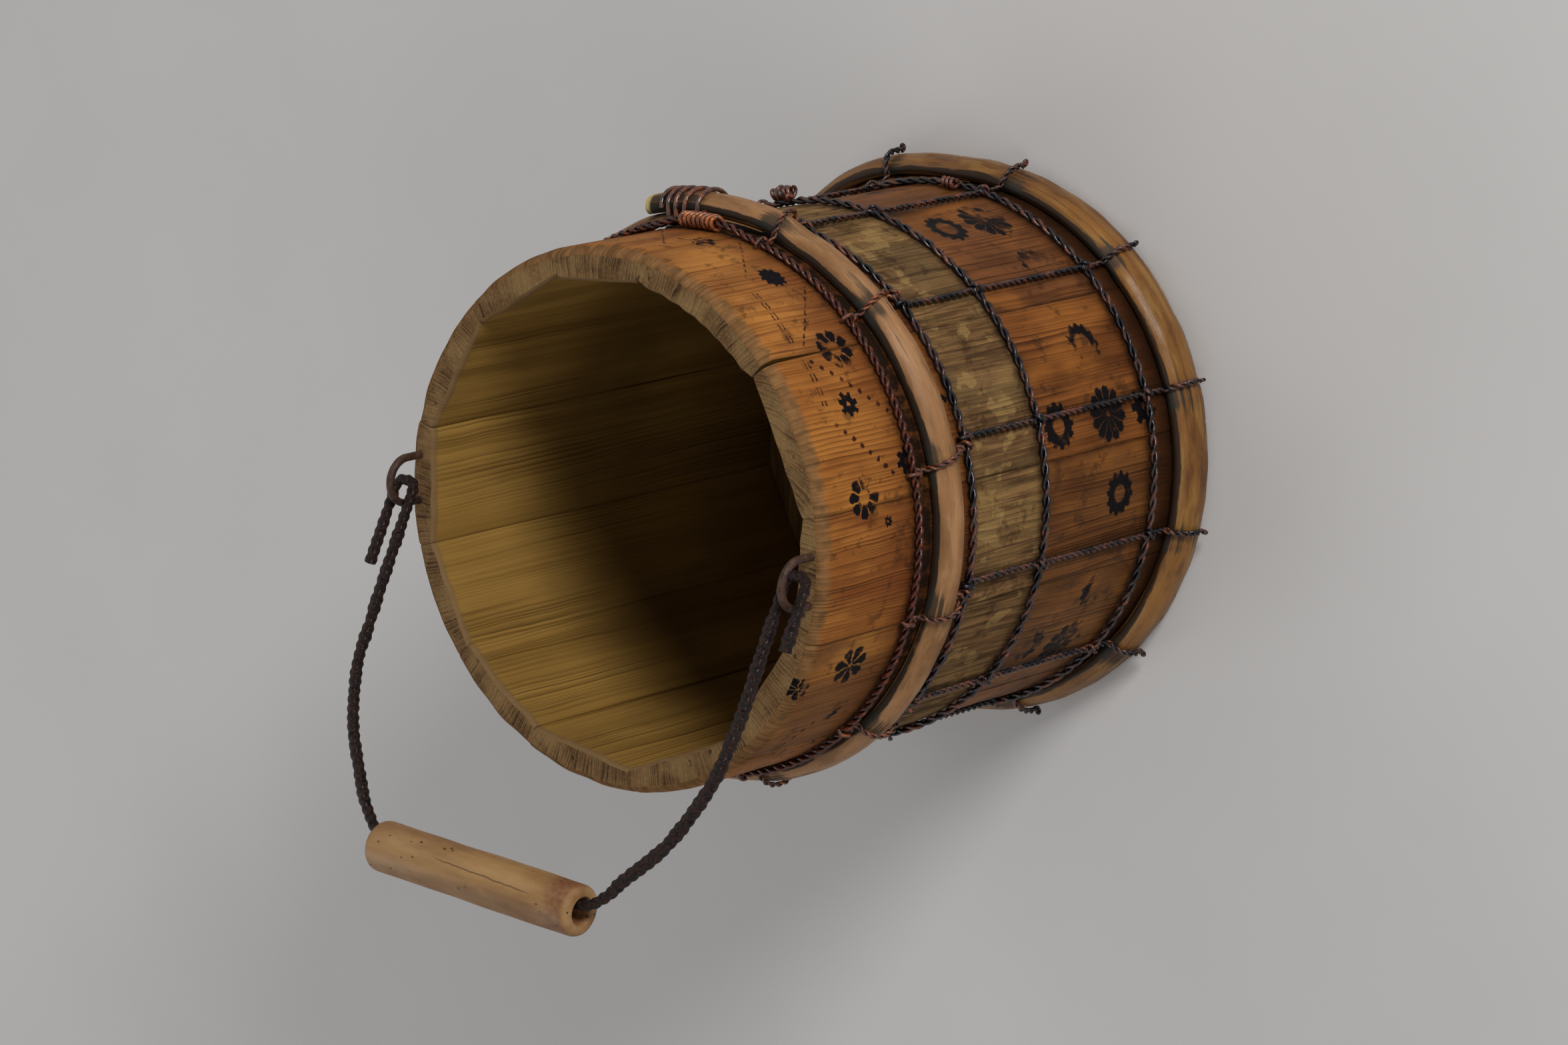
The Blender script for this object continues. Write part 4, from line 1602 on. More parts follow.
    @staticmethod
    def crossing(rows: Sequence[DashRow], low: float, high: float) -> tuple[DashRow, ...]:
        """Rows of strokes that may touch a stave, with their angles counted as the stave's are."""
        shifted = [DashRow((s.start[0] + turn, s.start[1]), (s.end[0] + turn, s.end[1]), s.pitch, s.stroke,
                           s.thickness, s.apart, s.wear) for s in rows for turn in (0, 360)]
        return tuple(s for s in shifted if max(s.start[0], s.end[0]) > low and min(s.start[0], s.end[0]) < high)


@dataclass
class Bottom:
    """The three bottom boards and their dowels."""

    joints: tuple[float, float] = (-39, 41)
    gap: float = 0.3
    chord: float = 12.0

    def board(self, index: int, material: bpy.types.Material) -> bpy.types.Object:
        """Build one board.

        Args:
            index: Its number from -X.
            material: Its finish.

        Returns:
            The finished piece.
        """
        groove_r = float(FORM.radius(FORM.floor_z)) - FORM.joint_t + FORM.croze_d
        side = (FORM.floor_t - FORM.floor_edge_t) / 2
        z = np.array([0, 0.5, side, side + FORM.floor_edge_t, FORM.floor_t - 0.5, FORM.floor_t])
        r = groove_r - FORM.floor_bevel * np.clip(np.maximum(side - z, z - side - FORM.floor_edge_t) / side, 0, 1)
        edge = np.sqrt(r ** 2 - self.chord ** 2)
        low = -edge if index == 0 else np.full(6, self.joints[index - 1] + self.gap / 2)
        high = edge if index == 2 else np.full(6, self.joints[index] - self.gap / 2) if index < 2 else edge
        u = np.concatenate([[0, 0.006, 0.02], np.linspace(0.05, 0.95, 34), [0.98, 0.994, 1]])
        v = np.linspace(-1, 1, 111)
        x = low + (high - low) * u[:, None]
        y = np.sqrt(np.maximum(r ** 2 - x ** 2, 0))[:, None, :] * v[None, :, None]
        x = np.broadcast_to(x[:, None, :], y.shape)
        height = np.broadcast_to(z, y.shape) + FORM.floor_z
        worn = 0.35 * (1 + ripple(x, y * 0.3, 14, 90 + index)) * (z > FORM.floor_t / 2)
        eased = 0.6 * np.clip(1 - np.minimum(x - low, high - x) / 1.5, 0, 1) * np.sign(z - FORM.floor_t / 2)
        lattice = np.stack([x, y, height - worn - eased], axis=-1)
        points, faces, _, _ = lattice_skin(lattice)
        name = ("bottom_board_left", "bottom_board_middle", "bottom_board_right")[index]
        piece = add_piece(name + "_wood", mesh_of(name + "_wood", points, faces), [material])
        hand_over(piece, "bucket", "bottom_pine", name)
        return piece

    def build(self, effects: Effects) -> None:
        """Build the boards and dress the dowels."""
        wood = BoardWood("bottom_wood").material(effects)
        for index in range(3):
            self.board(index, wood)
        dress_node("bottom_dowels", BoardWood("dowel_birch", "BFA36A", "8E6F3A").material(effects))


def dress_node(node: str, material: bpy.types.Material) -> None:
    """Give a solid that stays in view its finish."""
    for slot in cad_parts[node].material_slots:
        slot.material = material


@dataclass
class Hoops:
    """The two hoops of split sapling."""

    sections: int = 560
    arcs: int = 23

    def loft(self, name: str, form: HoopForm, seed: int, wood: bpy.types.Material,
             cut: bpy.types.Material) -> bpy.types.Object:
        """Build a hoop.

        Args:
            name: The solid that it stands for.
            form: Its sizes.
            seed: Seed of its unevenness.
            wood: Finish of its bark side.
            cut: Finish of its ends.

        Returns:
            The finished piece.
        """
        lap = form.lap
        s = np.linspace(0, 360 + lap.length, self.sections)
        angle = lap.outer_end - lap.length + s
        share = form.share(s)
        rows = np.array([form.section(form.thickness * t, form.width * (1 - form.tip_narrow * (1 - t)), self.arcs)
                         for t in share])
        count = rows.shape[1]
        v = rows[..., 1] / (form.width / 2)
        arc = np.radians(angle)[:, None] * FORM.base_r + 0 * v
        lump = 0.5 + 0.5 * ripple(arc, v * 9, 21, seed)
        crown = np.clip(rows[..., 0] / np.maximum(form.thickness * share[:, None], 1e-6), 0, 1)
        u = rows[..., 0] - crown * (0.42 * lump + 0.22 * ripple(arc, v * 20, 6, seed + 1) ** 2) * share[:, None]
        across = rows[..., 1] - 0.35 * v * lump * share[:, None]
        z = form.height - across
        r = FORM.radius(z) + u + form.seat + form.lifts(s)[:, None]
        turn = np.radians(angle)[:, None]
        points = np.stack([r * np.cos(turn), r * np.sin(turn), z], axis=-1).reshape(-1, 3)
        quads = grid_faces(len(s), count, False, True)
        if enclosed(points, quads) < 0:
            quads = quads[:, ::-1]
        rim = list(range(count))
        ends = [rim if self.faces_back(points, rim, quads) else rim[::-1]]
        last = [(len(s) - 1) * count + k for k in rim]
        ends.append(last[::-1] if ends[0] == rim else last)
        mesh = mesh_of(name + "_wood", points, [*quads.tolist(), *ends], 50)
        girth = np.concatenate([[0], np.cumsum(np.linalg.norm(np.diff(rows[len(s) // 2], axis=0), axis=1))])
        flat = np.stack([arc * MM, np.broadcast_to(girth * MM, arc.shape)], axis=-1).reshape(-1, 2)
        corners = np.concatenate([quads.ravel(), *map(np.array, ends)])
        set_map(mesh, flat[corners])
        mesh.polygons.foreach_set("material_index", np.r_[np.zeros(len(quads)), 1, 1].astype(np.int32))
        set_value(mesh, "edge", np.clip(np.abs(v), 0, 1).ravel() * np.where(v < 0, 1.0, 0.85).ravel())
        set_value(mesh, SOIL, self.soil(angle, v, form is UPPER).ravel())
        cut_back = smooth((angle - angle.max() + 1.2) / 0.3)[:, None] * smooth((0.1 - v) / 0.3)
        set_value(mesh, "tip", cut_back.ravel())
        piece = add_piece(name + "_wood", mesh, [wood, cut])
        hand_over(piece, "bucket", name + "_wood", name)
        return piece

    @staticmethod
    def faces_back(points: Array, rim: list[int], quads: Array) -> bool:
        """Whether the first section, in its order, faces away from the hoop's body."""
        edge = {(int(q[k]), int(q[(k + 1) % 4])) for q in quads[:len(rim)] for k in range(4)}
        return (rim[1], rim[0]) in edge

    @staticmethod
    def soil(angle: Array, v: Array, lap: bool) -> Array:
        """Soot beside the wires that cross a hoop, and round the wound lap."""
        dirt = np.zeros_like(v)
        mm = math.degrees(1 / 130)
        for wire in NET.tie_angles() + NET.lace_angles():
            gap = np.abs((angle - wire + 1.5 + 180) % 360 - 180) / mm
            dirt = np.maximum(dirt, np.exp(-np.maximum(gap - 1.5, 0) / 5.5)[:, None] * (0.34 - 0.12 * v + 0.42 * np.abs(v) ** 1.6))
        wound = smooth((angle - angle.max() + 17) / 5)[:, None] * (0.45 - 0.4 * v)
        return np.maximum(dirt, wound) if lap else dirt

    def build(self, effects: Effects) -> None:
        """Build and dress both hoops."""
        cut = CutWood("hoop_cut_end").material(effects)
        upper = HoopWood("upper_hoop_bark", "946B45", "6E4C2A", seed=2.0).material(effects)
        lower = HoopWood("lower_hoop_bark", "83592A", "5F3B17", "3F2412", "1B0F08", "8F6C36", 0.5, 0.6, 0.26,
                         9.0).material(effects)
        self.loft("upper_hoop", UPPER, 21, upper, cut)
        self.loft("lower_hoop", LOWER, 31, lower, cut)


def profile_route(profile: Array, angles: Array) -> Array:
    """Points of a route that is given as height and distance off the staves at each angle."""
    return FORM.point(angles, profile[:, 0], profile[:, 1])


def fine(values: Array, step: float, weights: Array | None = None) -> tuple[Array, Array]:
    """Resample a polyline on a smooth curve through its points.

    Args:
        values: One point in each row.
        step: Distance between two new points.
        weights: Columns that are carried along without counting as length.

    Returns:
        The new rows and their distance along the line.
    """
    lengths = np.r_[0, np.cumsum(np.linalg.norm(np.diff(values, axis=0), axis=1))]
    count = max(8, round(lengths[-1] / step))
    t = np.linspace(0, lengths[-1], count)
    table = values if weights is None else np.column_stack([values, weights])
    padded = np.vstack([2 * table[0] - table[1], table, 2 * table[-1] - table[-2]])
    place = np.clip(np.searchsorted(lengths, t, side="right") - 1, 0, len(values) - 2)
    h = lengths[place + 1] - lengths[place]
    f = ((t - lengths[place]) / h)[:, None]
    p0, p1, p2, p3 = (padded[place + k] for k in range(4))
    before = np.where(place > 0, lengths[place] - lengths[np.maximum(place - 1, 0)], h)
    after = np.where(place < len(values) - 2, lengths[np.minimum(place + 2, len(values) - 1)] - lengths[place + 1], h)
    m1 = (p2 - p0) / (before + h)[:, None] * h[:, None]
    m2 = (p3 - p1) / (after + h)[:, None] * h[:, None]
    rows = ((2 * f ** 3 - 3 * f ** 2 + 1) * p1 + (f ** 3 - 2 * f ** 2 + f) * m1
            + (-2 * f ** 3 + 3 * f ** 2) * p2 + (f ** 3 - f ** 2) * m2)
    return rows, t


@dataclass
class WireNet:
    """Rings, lengthwise wires, ties, winding, coil and twisted ends."""

    ring_points: int = 900
    ring_lays: tuple[float, ...] = (10.0, 14.0, 14.0, 14.0)
    lace_lay: float = 8.6
    tie_lay: float = 8.0
    strands: StrandTree = field(default_factory=StrandTree)

    def ring(self, index: int, name: str, slot: str, material: bpy.types.Material) -> None:
        """Lay one ring of two twisted strands."""
        angle = np.linspace(0, 360, self.ring_points, endpoint=False) + NET.splice_mid - 180
        u = NET.ring_u + (NET.ring_lift(angle) if index == 0 else 0 * angle)
        z = NET.ring_z[index] + 0.3 * np.sin(np.radians(5 * angle + 40 * index)) * (index != 0)
        points = FORM.point(angle, z, u)
        turns = round(2 * math.pi * FORM.radius(z[0]) / self.ring_lays[index])
        up = np.tile([0.0, 0.0, 1.0], (len(angle), 1))
        turn = np.linspace(0, 2 * math.pi * turns, self.ring_points, endpoint=False)
        path = Path(points, up, turn, np.full(len(angle), NET.ring_d / 4), np.full(len(angle), NET.ring_d / 4), True)
        piece = self.strands.make(name + "_strands", path, material, Strands=2, Sides=10, Seed=float(index),
                                  Roughness=0.00005, Lump_Size=0.0016)
        hand_over(piece, "bucket", slot, name)

    def over(self, z: float, lift: float, angles: Sequence[float]) -> list[list[float]]:
        """A strand's way over a ring: height, distance off the staves, spread and radius."""
        reach = NET.ring_d / 2 + NET.strand_d / 2 + NET.clear
        rows = []
        for q in angles:
            over_u = NET.ring_u + reach * math.sin(math.radians(q)) + lift
            under_u = 0.45
            rows.append([z + reach * math.cos(math.radians(q)), (over_u + under_u) / 2, (over_u - under_u) / 2,
                         NET.strand_d / 2])
        return rows

    def plain(self, z: float, d: float, u: float | None = None) -> list[float]:
        """A twisted pair that lies on the staves."""
        return [z, d / 2 + NET.seat_gap if u is None else u, d / 4, d / 4]

    def over_hoop(self, hoop: HoopForm, angle: float, d: float, z_end: float) -> list[list[float]]:
        """The way over a hoop, as the solids have it."""
        r = d / 2
        top = hoop.top(angle)
        a, b = top + r + 2 * NET.clear, hoop.width / 2 + r + 3 * NET.clear
        n = 2.2 + 1.8 * max(0.0, top / LOWER.thickness - 1)
        last = math.degrees(math.asin(min(1, abs(z_end - hoop.height) / b) ** (n / 2))) * (-1 if z_end < hoop.height else 1)
        rows = []
        for k in range(10):
            q = math.radians(80 + (last - 80) * k / 9)
            z = hoop.height + b * math.copysign(abs(math.sin(q)) ** (2 / n), math.sin(q))
            rows.append(self.plain(z, d, max(r + NET.seat_gap, a * math.cos(q) ** (2 / n))))
        return rows

    def meridian(self, name: str, rows: list[list[float]], angles: Callable[[Array], Array], lay: float,
                 crossings: Sequence[float], slot: str, material: bpy.types.Material, seed: float) -> None:
        """Lay a twisted pair down the wall.

        Args:
            name: The solid that it stands for.
            rows: Height, distance, spread and strand radius along it.
            angles: Angle at each height.
            lay: Length of one full turn of the pair.
            crossings: Heights at which one strand lies over the other.
            slot: Its finish slot.
            material: Its finish.
            seed: Seed of its roughness.
        """
        table = np.array(rows)
        route, _ = fine(table[:, :2], 0.45, table[:, 2:])
        z, u, spread, radius = route.T
        angle = angles(z)
        points = FORM.point(angle, z, u)
        along = np.r_[0, np.cumsum(np.linalg.norm(np.diff(points, axis=0), axis=1))]
        marks = [float(along[np.argmin(np.abs(z - c))]) for c in crossings]
        turn = np.zeros(len(z))
        base = math.pi / 2
        knots, values = [marks[0]], [base]
        for a, b in zip(marks, marks[1:]):
            base += math.pi * max(1, round((b - a) / (lay / 2)))
            knots.append(b)
            values.append(base)
        turn = np.interp(along, knots, values)
        turn = np.where(along > knots[-1], values[-1] + (along - knots[-1]) * 2 * math.pi / lay, turn)
        flat = spread > NET.lace_d / 4 + 0.05
        turn = np.where(flat, np.round((turn - math.pi / 2) / math.pi) * math.pi + math.pi / 2, turn)
        width = 3
        kernel = np.ones(2 * width + 1) / (2 * width + 1)
        turn = np.convolve(np.pad(turn, width, mode="edge"), kernel, mode="valid")
        side = np.stack([-np.sin(np.radians(angle)), np.cos(np.radians(angle)), 0 * angle], axis=-1)
        path = Path(points, side, turn, spread, radius)
        piece = self.strands.make(name + "_strands", path, material, Strands=2, Sides=9, Seed=seed,
                                  Roughness=0.00006, Lump_Size=0.0014)
        hand_over(piece, "bucket", slot, name)

    def lace(self, index: int, material: bpy.types.Material) -> None:
        """Lay one lengthwise wire, with the small curl at its end."""
        angle = NET.lace_angles()[index]
        z1, z2, z3 = NET.ring_z[1:]
        run = NET.ring_d / 2 + NET.strand_d / 2 + NET.clear + NET.hop_lead
        d = NET.lace_d
        over = (30, 60, 90, 120, 150)
        rows = [*self.over(z1, 0, (-10, 20, 50, 90, 120, 150)), self.plain(z1 - run, d), self.plain(z1 - run - 6, d)]
        for ring in (z2, z3):
            rows += [self.plain(ring + run + 6, d), self.plain(ring + run, d), *self.over(ring, 0, over),
                     self.plain(ring - run, d)]
        hoop_rows = self.over_hoop(LOWER, angle, d, LOWER.height - NET.lace_end)
        rows += hoop_rows
        e, f = np.array(hoop_rows[-1][:2]), np.array(hoop_rows[-2][:2])
        way = (e - f) / np.linalg.norm(e - f)
        out = np.array([way[1], -way[0]]) if way[0] < 0 else np.array([-way[1], way[0]])
        for k in range(1, 9):
            q = math.radians(31 * k)
            p = e + NET.curl_r * ((1 - math.cos(q)) * out + math.sin(q) * way)
            rows.append([p[0], p[1], 0.05, NET.strand_d / 2])
        sway = 0.35 * math.sin(2.1 * index)
        self.meridian(f"lace_wire_{index + 1:02d}", rows,
                      lambda z: angle + sway * np.sin((z - z1) / (z1 - z2) * math.pi) * (z < z1) * (z > z2),
                      self.lace_lay, (z1, z2, z3), "dark_wire", material, 10.0 + index)

    def tie(self, index: int, angle: float, material: bpy.types.Material) -> None:
        """Lay one tie over the upper hoop."""
        high, low = NET.ring_z[0], NET.ring_z[1]
        run = NET.ring_d / 2 + NET.strand_d / 2 + NET.clear + NET.hop_lead
        d = NET.tie_d
        z_end = UPPER.height - 0.985 * (UPPER.width / 2 + d / 2)
        rows = [*self.over(high, 0, (-10, 20, 50, 90, 120, 150)), self.plain(high - run, d),
                *self.over_hoop(UPPER, angle, d, z_end), self.plain(low + run, d),
                *self.over(low, 0, (30, 60, 90, 120, 150))]
        self.meridian(f"hoop_tie_{index + 1:02d}", rows,
                      lambda z: angle - NET.tie_skew * smooth((z - low) / (high - low)), self.tie_lay,
                      (high, low), "brown_wire", material, 30.0 + index)

    def single(self, name: str, points: Array, d: float, across: Array, slot: str, material: bpy.types.Material,
               seed: float, *more: Array) -> None:
        """Lay one plain strand along a route, and along any further routes."""
        runs = [fine(route, 0.4)[0] for route in (points, *more)]
        rows = np.concatenate(runs)
        zero = np.zeros(len(rows))
        starts = tuple(np.cumsum([len(run) for run in runs])[:-1].tolist())
        path = Path(rows, np.tile(across, (len(rows), 1)), zero, zero, zero + d / 2, starts=starts)
        piece = self.strands.make(name + "_strand", path, material, Strands=1, Sides=10, Seed=seed,
                                  Roughness=0.00009, Lump_Size=0.0015)
        hand_over(piece, "bucket", slot, name)

    def winding(self, material: bpy.types.Material) -> None:
        """Wind wire round the lap of the upper hoop."""
        steps = 24
        i = np.arange(steps * NET.wind_turns + 1)
        q = np.radians(360 * i / steps + 90)
        a = np.interp(i / steps, np.arange(NET.wind_turns + 1), NET.wind_angle)
        top = np.array([UPPER.top(x) for x in a])
        side = top - (1 - NET.edge_share) * UPPER.thickness
        low, high = NET.wind_d / 2 + NET.clear, top + NET.wind_d / 2 + 2 * NET.clear
        w = UPPER.width / 2 + NET.wind_d / 2 + 2 * NET.clear
        sq = NET.wind_square
        front = np.cos(q) > 1e-9
        z = UPPER.height + np.where(front, w * np.sin(q), w * np.sign(np.sin(q)) * np.abs(np.sin(q)) ** sq)
        u = np.where(front, side + (high - side) * np.cos(q), side - (side - low) * np.abs(np.cos(q)) ** sq)
        self.single("lap_winding", FORM.point(a, z, u), NET.wind_d, np.array([-0.97, -0.23, 0.0]), "rusty_wire",
                    material, 50.0)

    def splice(self, material: bpy.types.Material) -> None:
        """Coil wire round the first ring."""
        steps = 24
        i = np.arange(steps * NET.splice_turns + 1)
        q = np.radians(360 * i / steps)
        a = NET.splice_mid + NET.splice_span * (i / (steps * NET.splice_turns) - 0.5) + 0.75 * np.sin(q + 0.4)
        u = NET.ring_u + NET.ring_lift(a) + NET.splice_r * np.cos(q)
        points = FORM.point(a, np.full(len(i), float(NET.ring_z[0])), u)
        points[:, 2] += NET.splice_r * np.sin(q)
        self.single("ring_splice_coil", points, NET.splice_d, np.array([-1.0, 0.0, 0.0]), "rusty_wire", material, 51.0)

    def twists(self, material: bpy.types.Material) -> None:
        """Twist the ends of the third and fourth ring."""
        d, r_mid, r_low, pitch, turns = 1.9, 2.1, 1.9, 2.4, 5
        i = np.arange(24 * turns + 1)
        q = np.radians(15 * i)[:, None]
        a = math.radians(104.2)
        out, around = np.array([math.cos(a), math.sin(a), 0]), np.array([-math.sin(a), math.cos(a), 0])
        middle = FORM.point(np.array(104.2), np.array(float(NET.ring_z[2])), NET.ring_u + NET.ring_d / 2 + r_mid + 0.1)
        base = middle - around * pitch * turns / 2
        wide = r_mid * (1 + 0.12 * np.sin(2.3 * q))
        coil = base + around * (pitch * i / 24)[:, None] + wide * (np.cos(q) * out + np.sin(q) * np.cross(around, out))
        j = np.arange(24 * 3 + 1)
        q = np.radians(15 * j)[:, None]
        loop = (middle - around * 4.0 + around * (8.0 * j / 72)[:, None] + out * (0.6 - 2.8 * (j / 36 - 1) ** 2)[:, None]
                + (2.3 + 0.5 * np.sin(1.7 * q)) * (np.cos(q + 1) * out - np.sin(q + 1) * np.cross(around, out)))
        self.single("middle_ring_twist", coil, d, around, "dark_wire", material, 52.0, loop)
        i = np.arange(24 * 3 + 1)
        q = np.radians(15 * i)[:, None]
        a = math.radians(86)
        out, around = np.array([math.cos(a), math.sin(a), 0]), np.array([-math.sin(a), math.cos(a), 0])
        base = FORM.point(np.array(86.0), np.array(NET.ring_z[3] + NET.ring_d / 2 + r_low + d / 2 + 0.2),
                          r_low + d / 2 + 0.3)
        points = base + around * (2.4 * i / 24)[:, None] + r_low * (np.cos(q) * out + np.sin(q) * np.cross(around, out))
        self.single("foot_ring_twist", points, d, around, "dark_wire", material, 53.0)

    def build(self, effects: Effects) -> None:
        """Lay and dress every wire of the net."""
        dark = IronWire("dark_wire_iron", amount=0.45).material(effects)
        rim = IronWire("rim_ring_iron", rust_deep="2B0F08", rust_bright="7C3412", amount=0.95, patch=150.0,
                       shine=0.3, dull=0.45, varnish=0.25, mirror=0.2).material(effects)
        brown = IronWire("tie_iron", rust_deep="3A1A0C", rust_bright="AE5A1A", amount=0.72, patch=120.0, varnish=0.2).material(effects)
        rusty = IronWire("coil_iron", rust_deep="55270C", rust_bright="D9781C", amount=1.0, patch=160.0,
                         varnish=0.3).material(effects)
        bound = IronWire("winding_iron", rust_deep="24100A", rust_bright="9C4A18", amount=0.75, patch=140.0,
                         varnish=0.6).material(effects)
        bunch = IronWire("twist_iron", rust_deep="35150D", rust_bright="98461C", amount=0.8, patch=200.0,
                         varnish=0.6).material(effects)
        self.ring(0, "rim_wire_ring", "brown_wire", rim)
        for index, name in ((1, "hoop_wire_ring"), (2, "middle_wire_ring"), (3, "foot_wire_ring")):
            self.ring(index, name, "dark_wire", dark)
        for index in range(NET.lace_count):
            self.lace(index, dark)
        for index, angle in enumerate(NET.tie_angles()):
            self.tie(index, angle, brown)
        self.winding(bound)
        self.splice(rusty)
        self.twists(bunch)


@dataclass
class Staples:
    """The two staples that hold the bail."""

    d: float = 3.8
    width: float = 21.0
    rise: float = 18.5
    depth: float = 26.0
    inset: float = 7.0
    shifts: tuple[float, float] = (-3.5, 0.0)

    def build(self, effects: Effects) -> None:
        """Build and dress both."""
        iron = IronWire("staple_steel", steel="2A2422", rust_deep="33231B", rust_bright="5E4130", amount=0.75,
                        patch=140.0, depth=0.00012, shine=0.45, varnish=0.0, mirror=0.25).material(effects)
        strands = StrandTree()
        for index, name in enumerate(("staple_right", "staple_left")):
            x = (FORM.rim_r - self.inset) * (1 if index == 0 else -1)
            r, straight = self.width / 2, self.rise - self.width / 2
            turn = np.radians(np.linspace(0, 180, 41))
            legs = np.linspace(-self.depth, straight - 0.4, 24)
            y = np.concatenate([np.full(24, r), r * np.cos(turn), np.full(24, -r)])
            z = np.concatenate([legs, straight + r * np.sin(turn), legs[::-1]]) + FORM.height
            flat = 1 - 0.03 * (1 + ripple(z, y, 9, 7 + index))
            points = np.stack([np.full(len(y), x), y * 1.0 + self.shifts[index], z], axis=-1)
            tip = smooth((z - FORM.height + self.depth) / 5) * 0.75 + 0.25
            zero = np.zeros(len(y))
            path = Path(points, np.tile([1.0, 0.0, 0.0], (len(y), 1)), zero, zero, self.d / 2 * tip * flat)
            piece = strands.make(name + "_steel", path, iron, Strands=1, Sides=16, Seed=60.0 + index,
                                 Roughness=0.0001, Lump_Size=0.004)
            hand_over(piece, "bucket", "staple_iron", name)


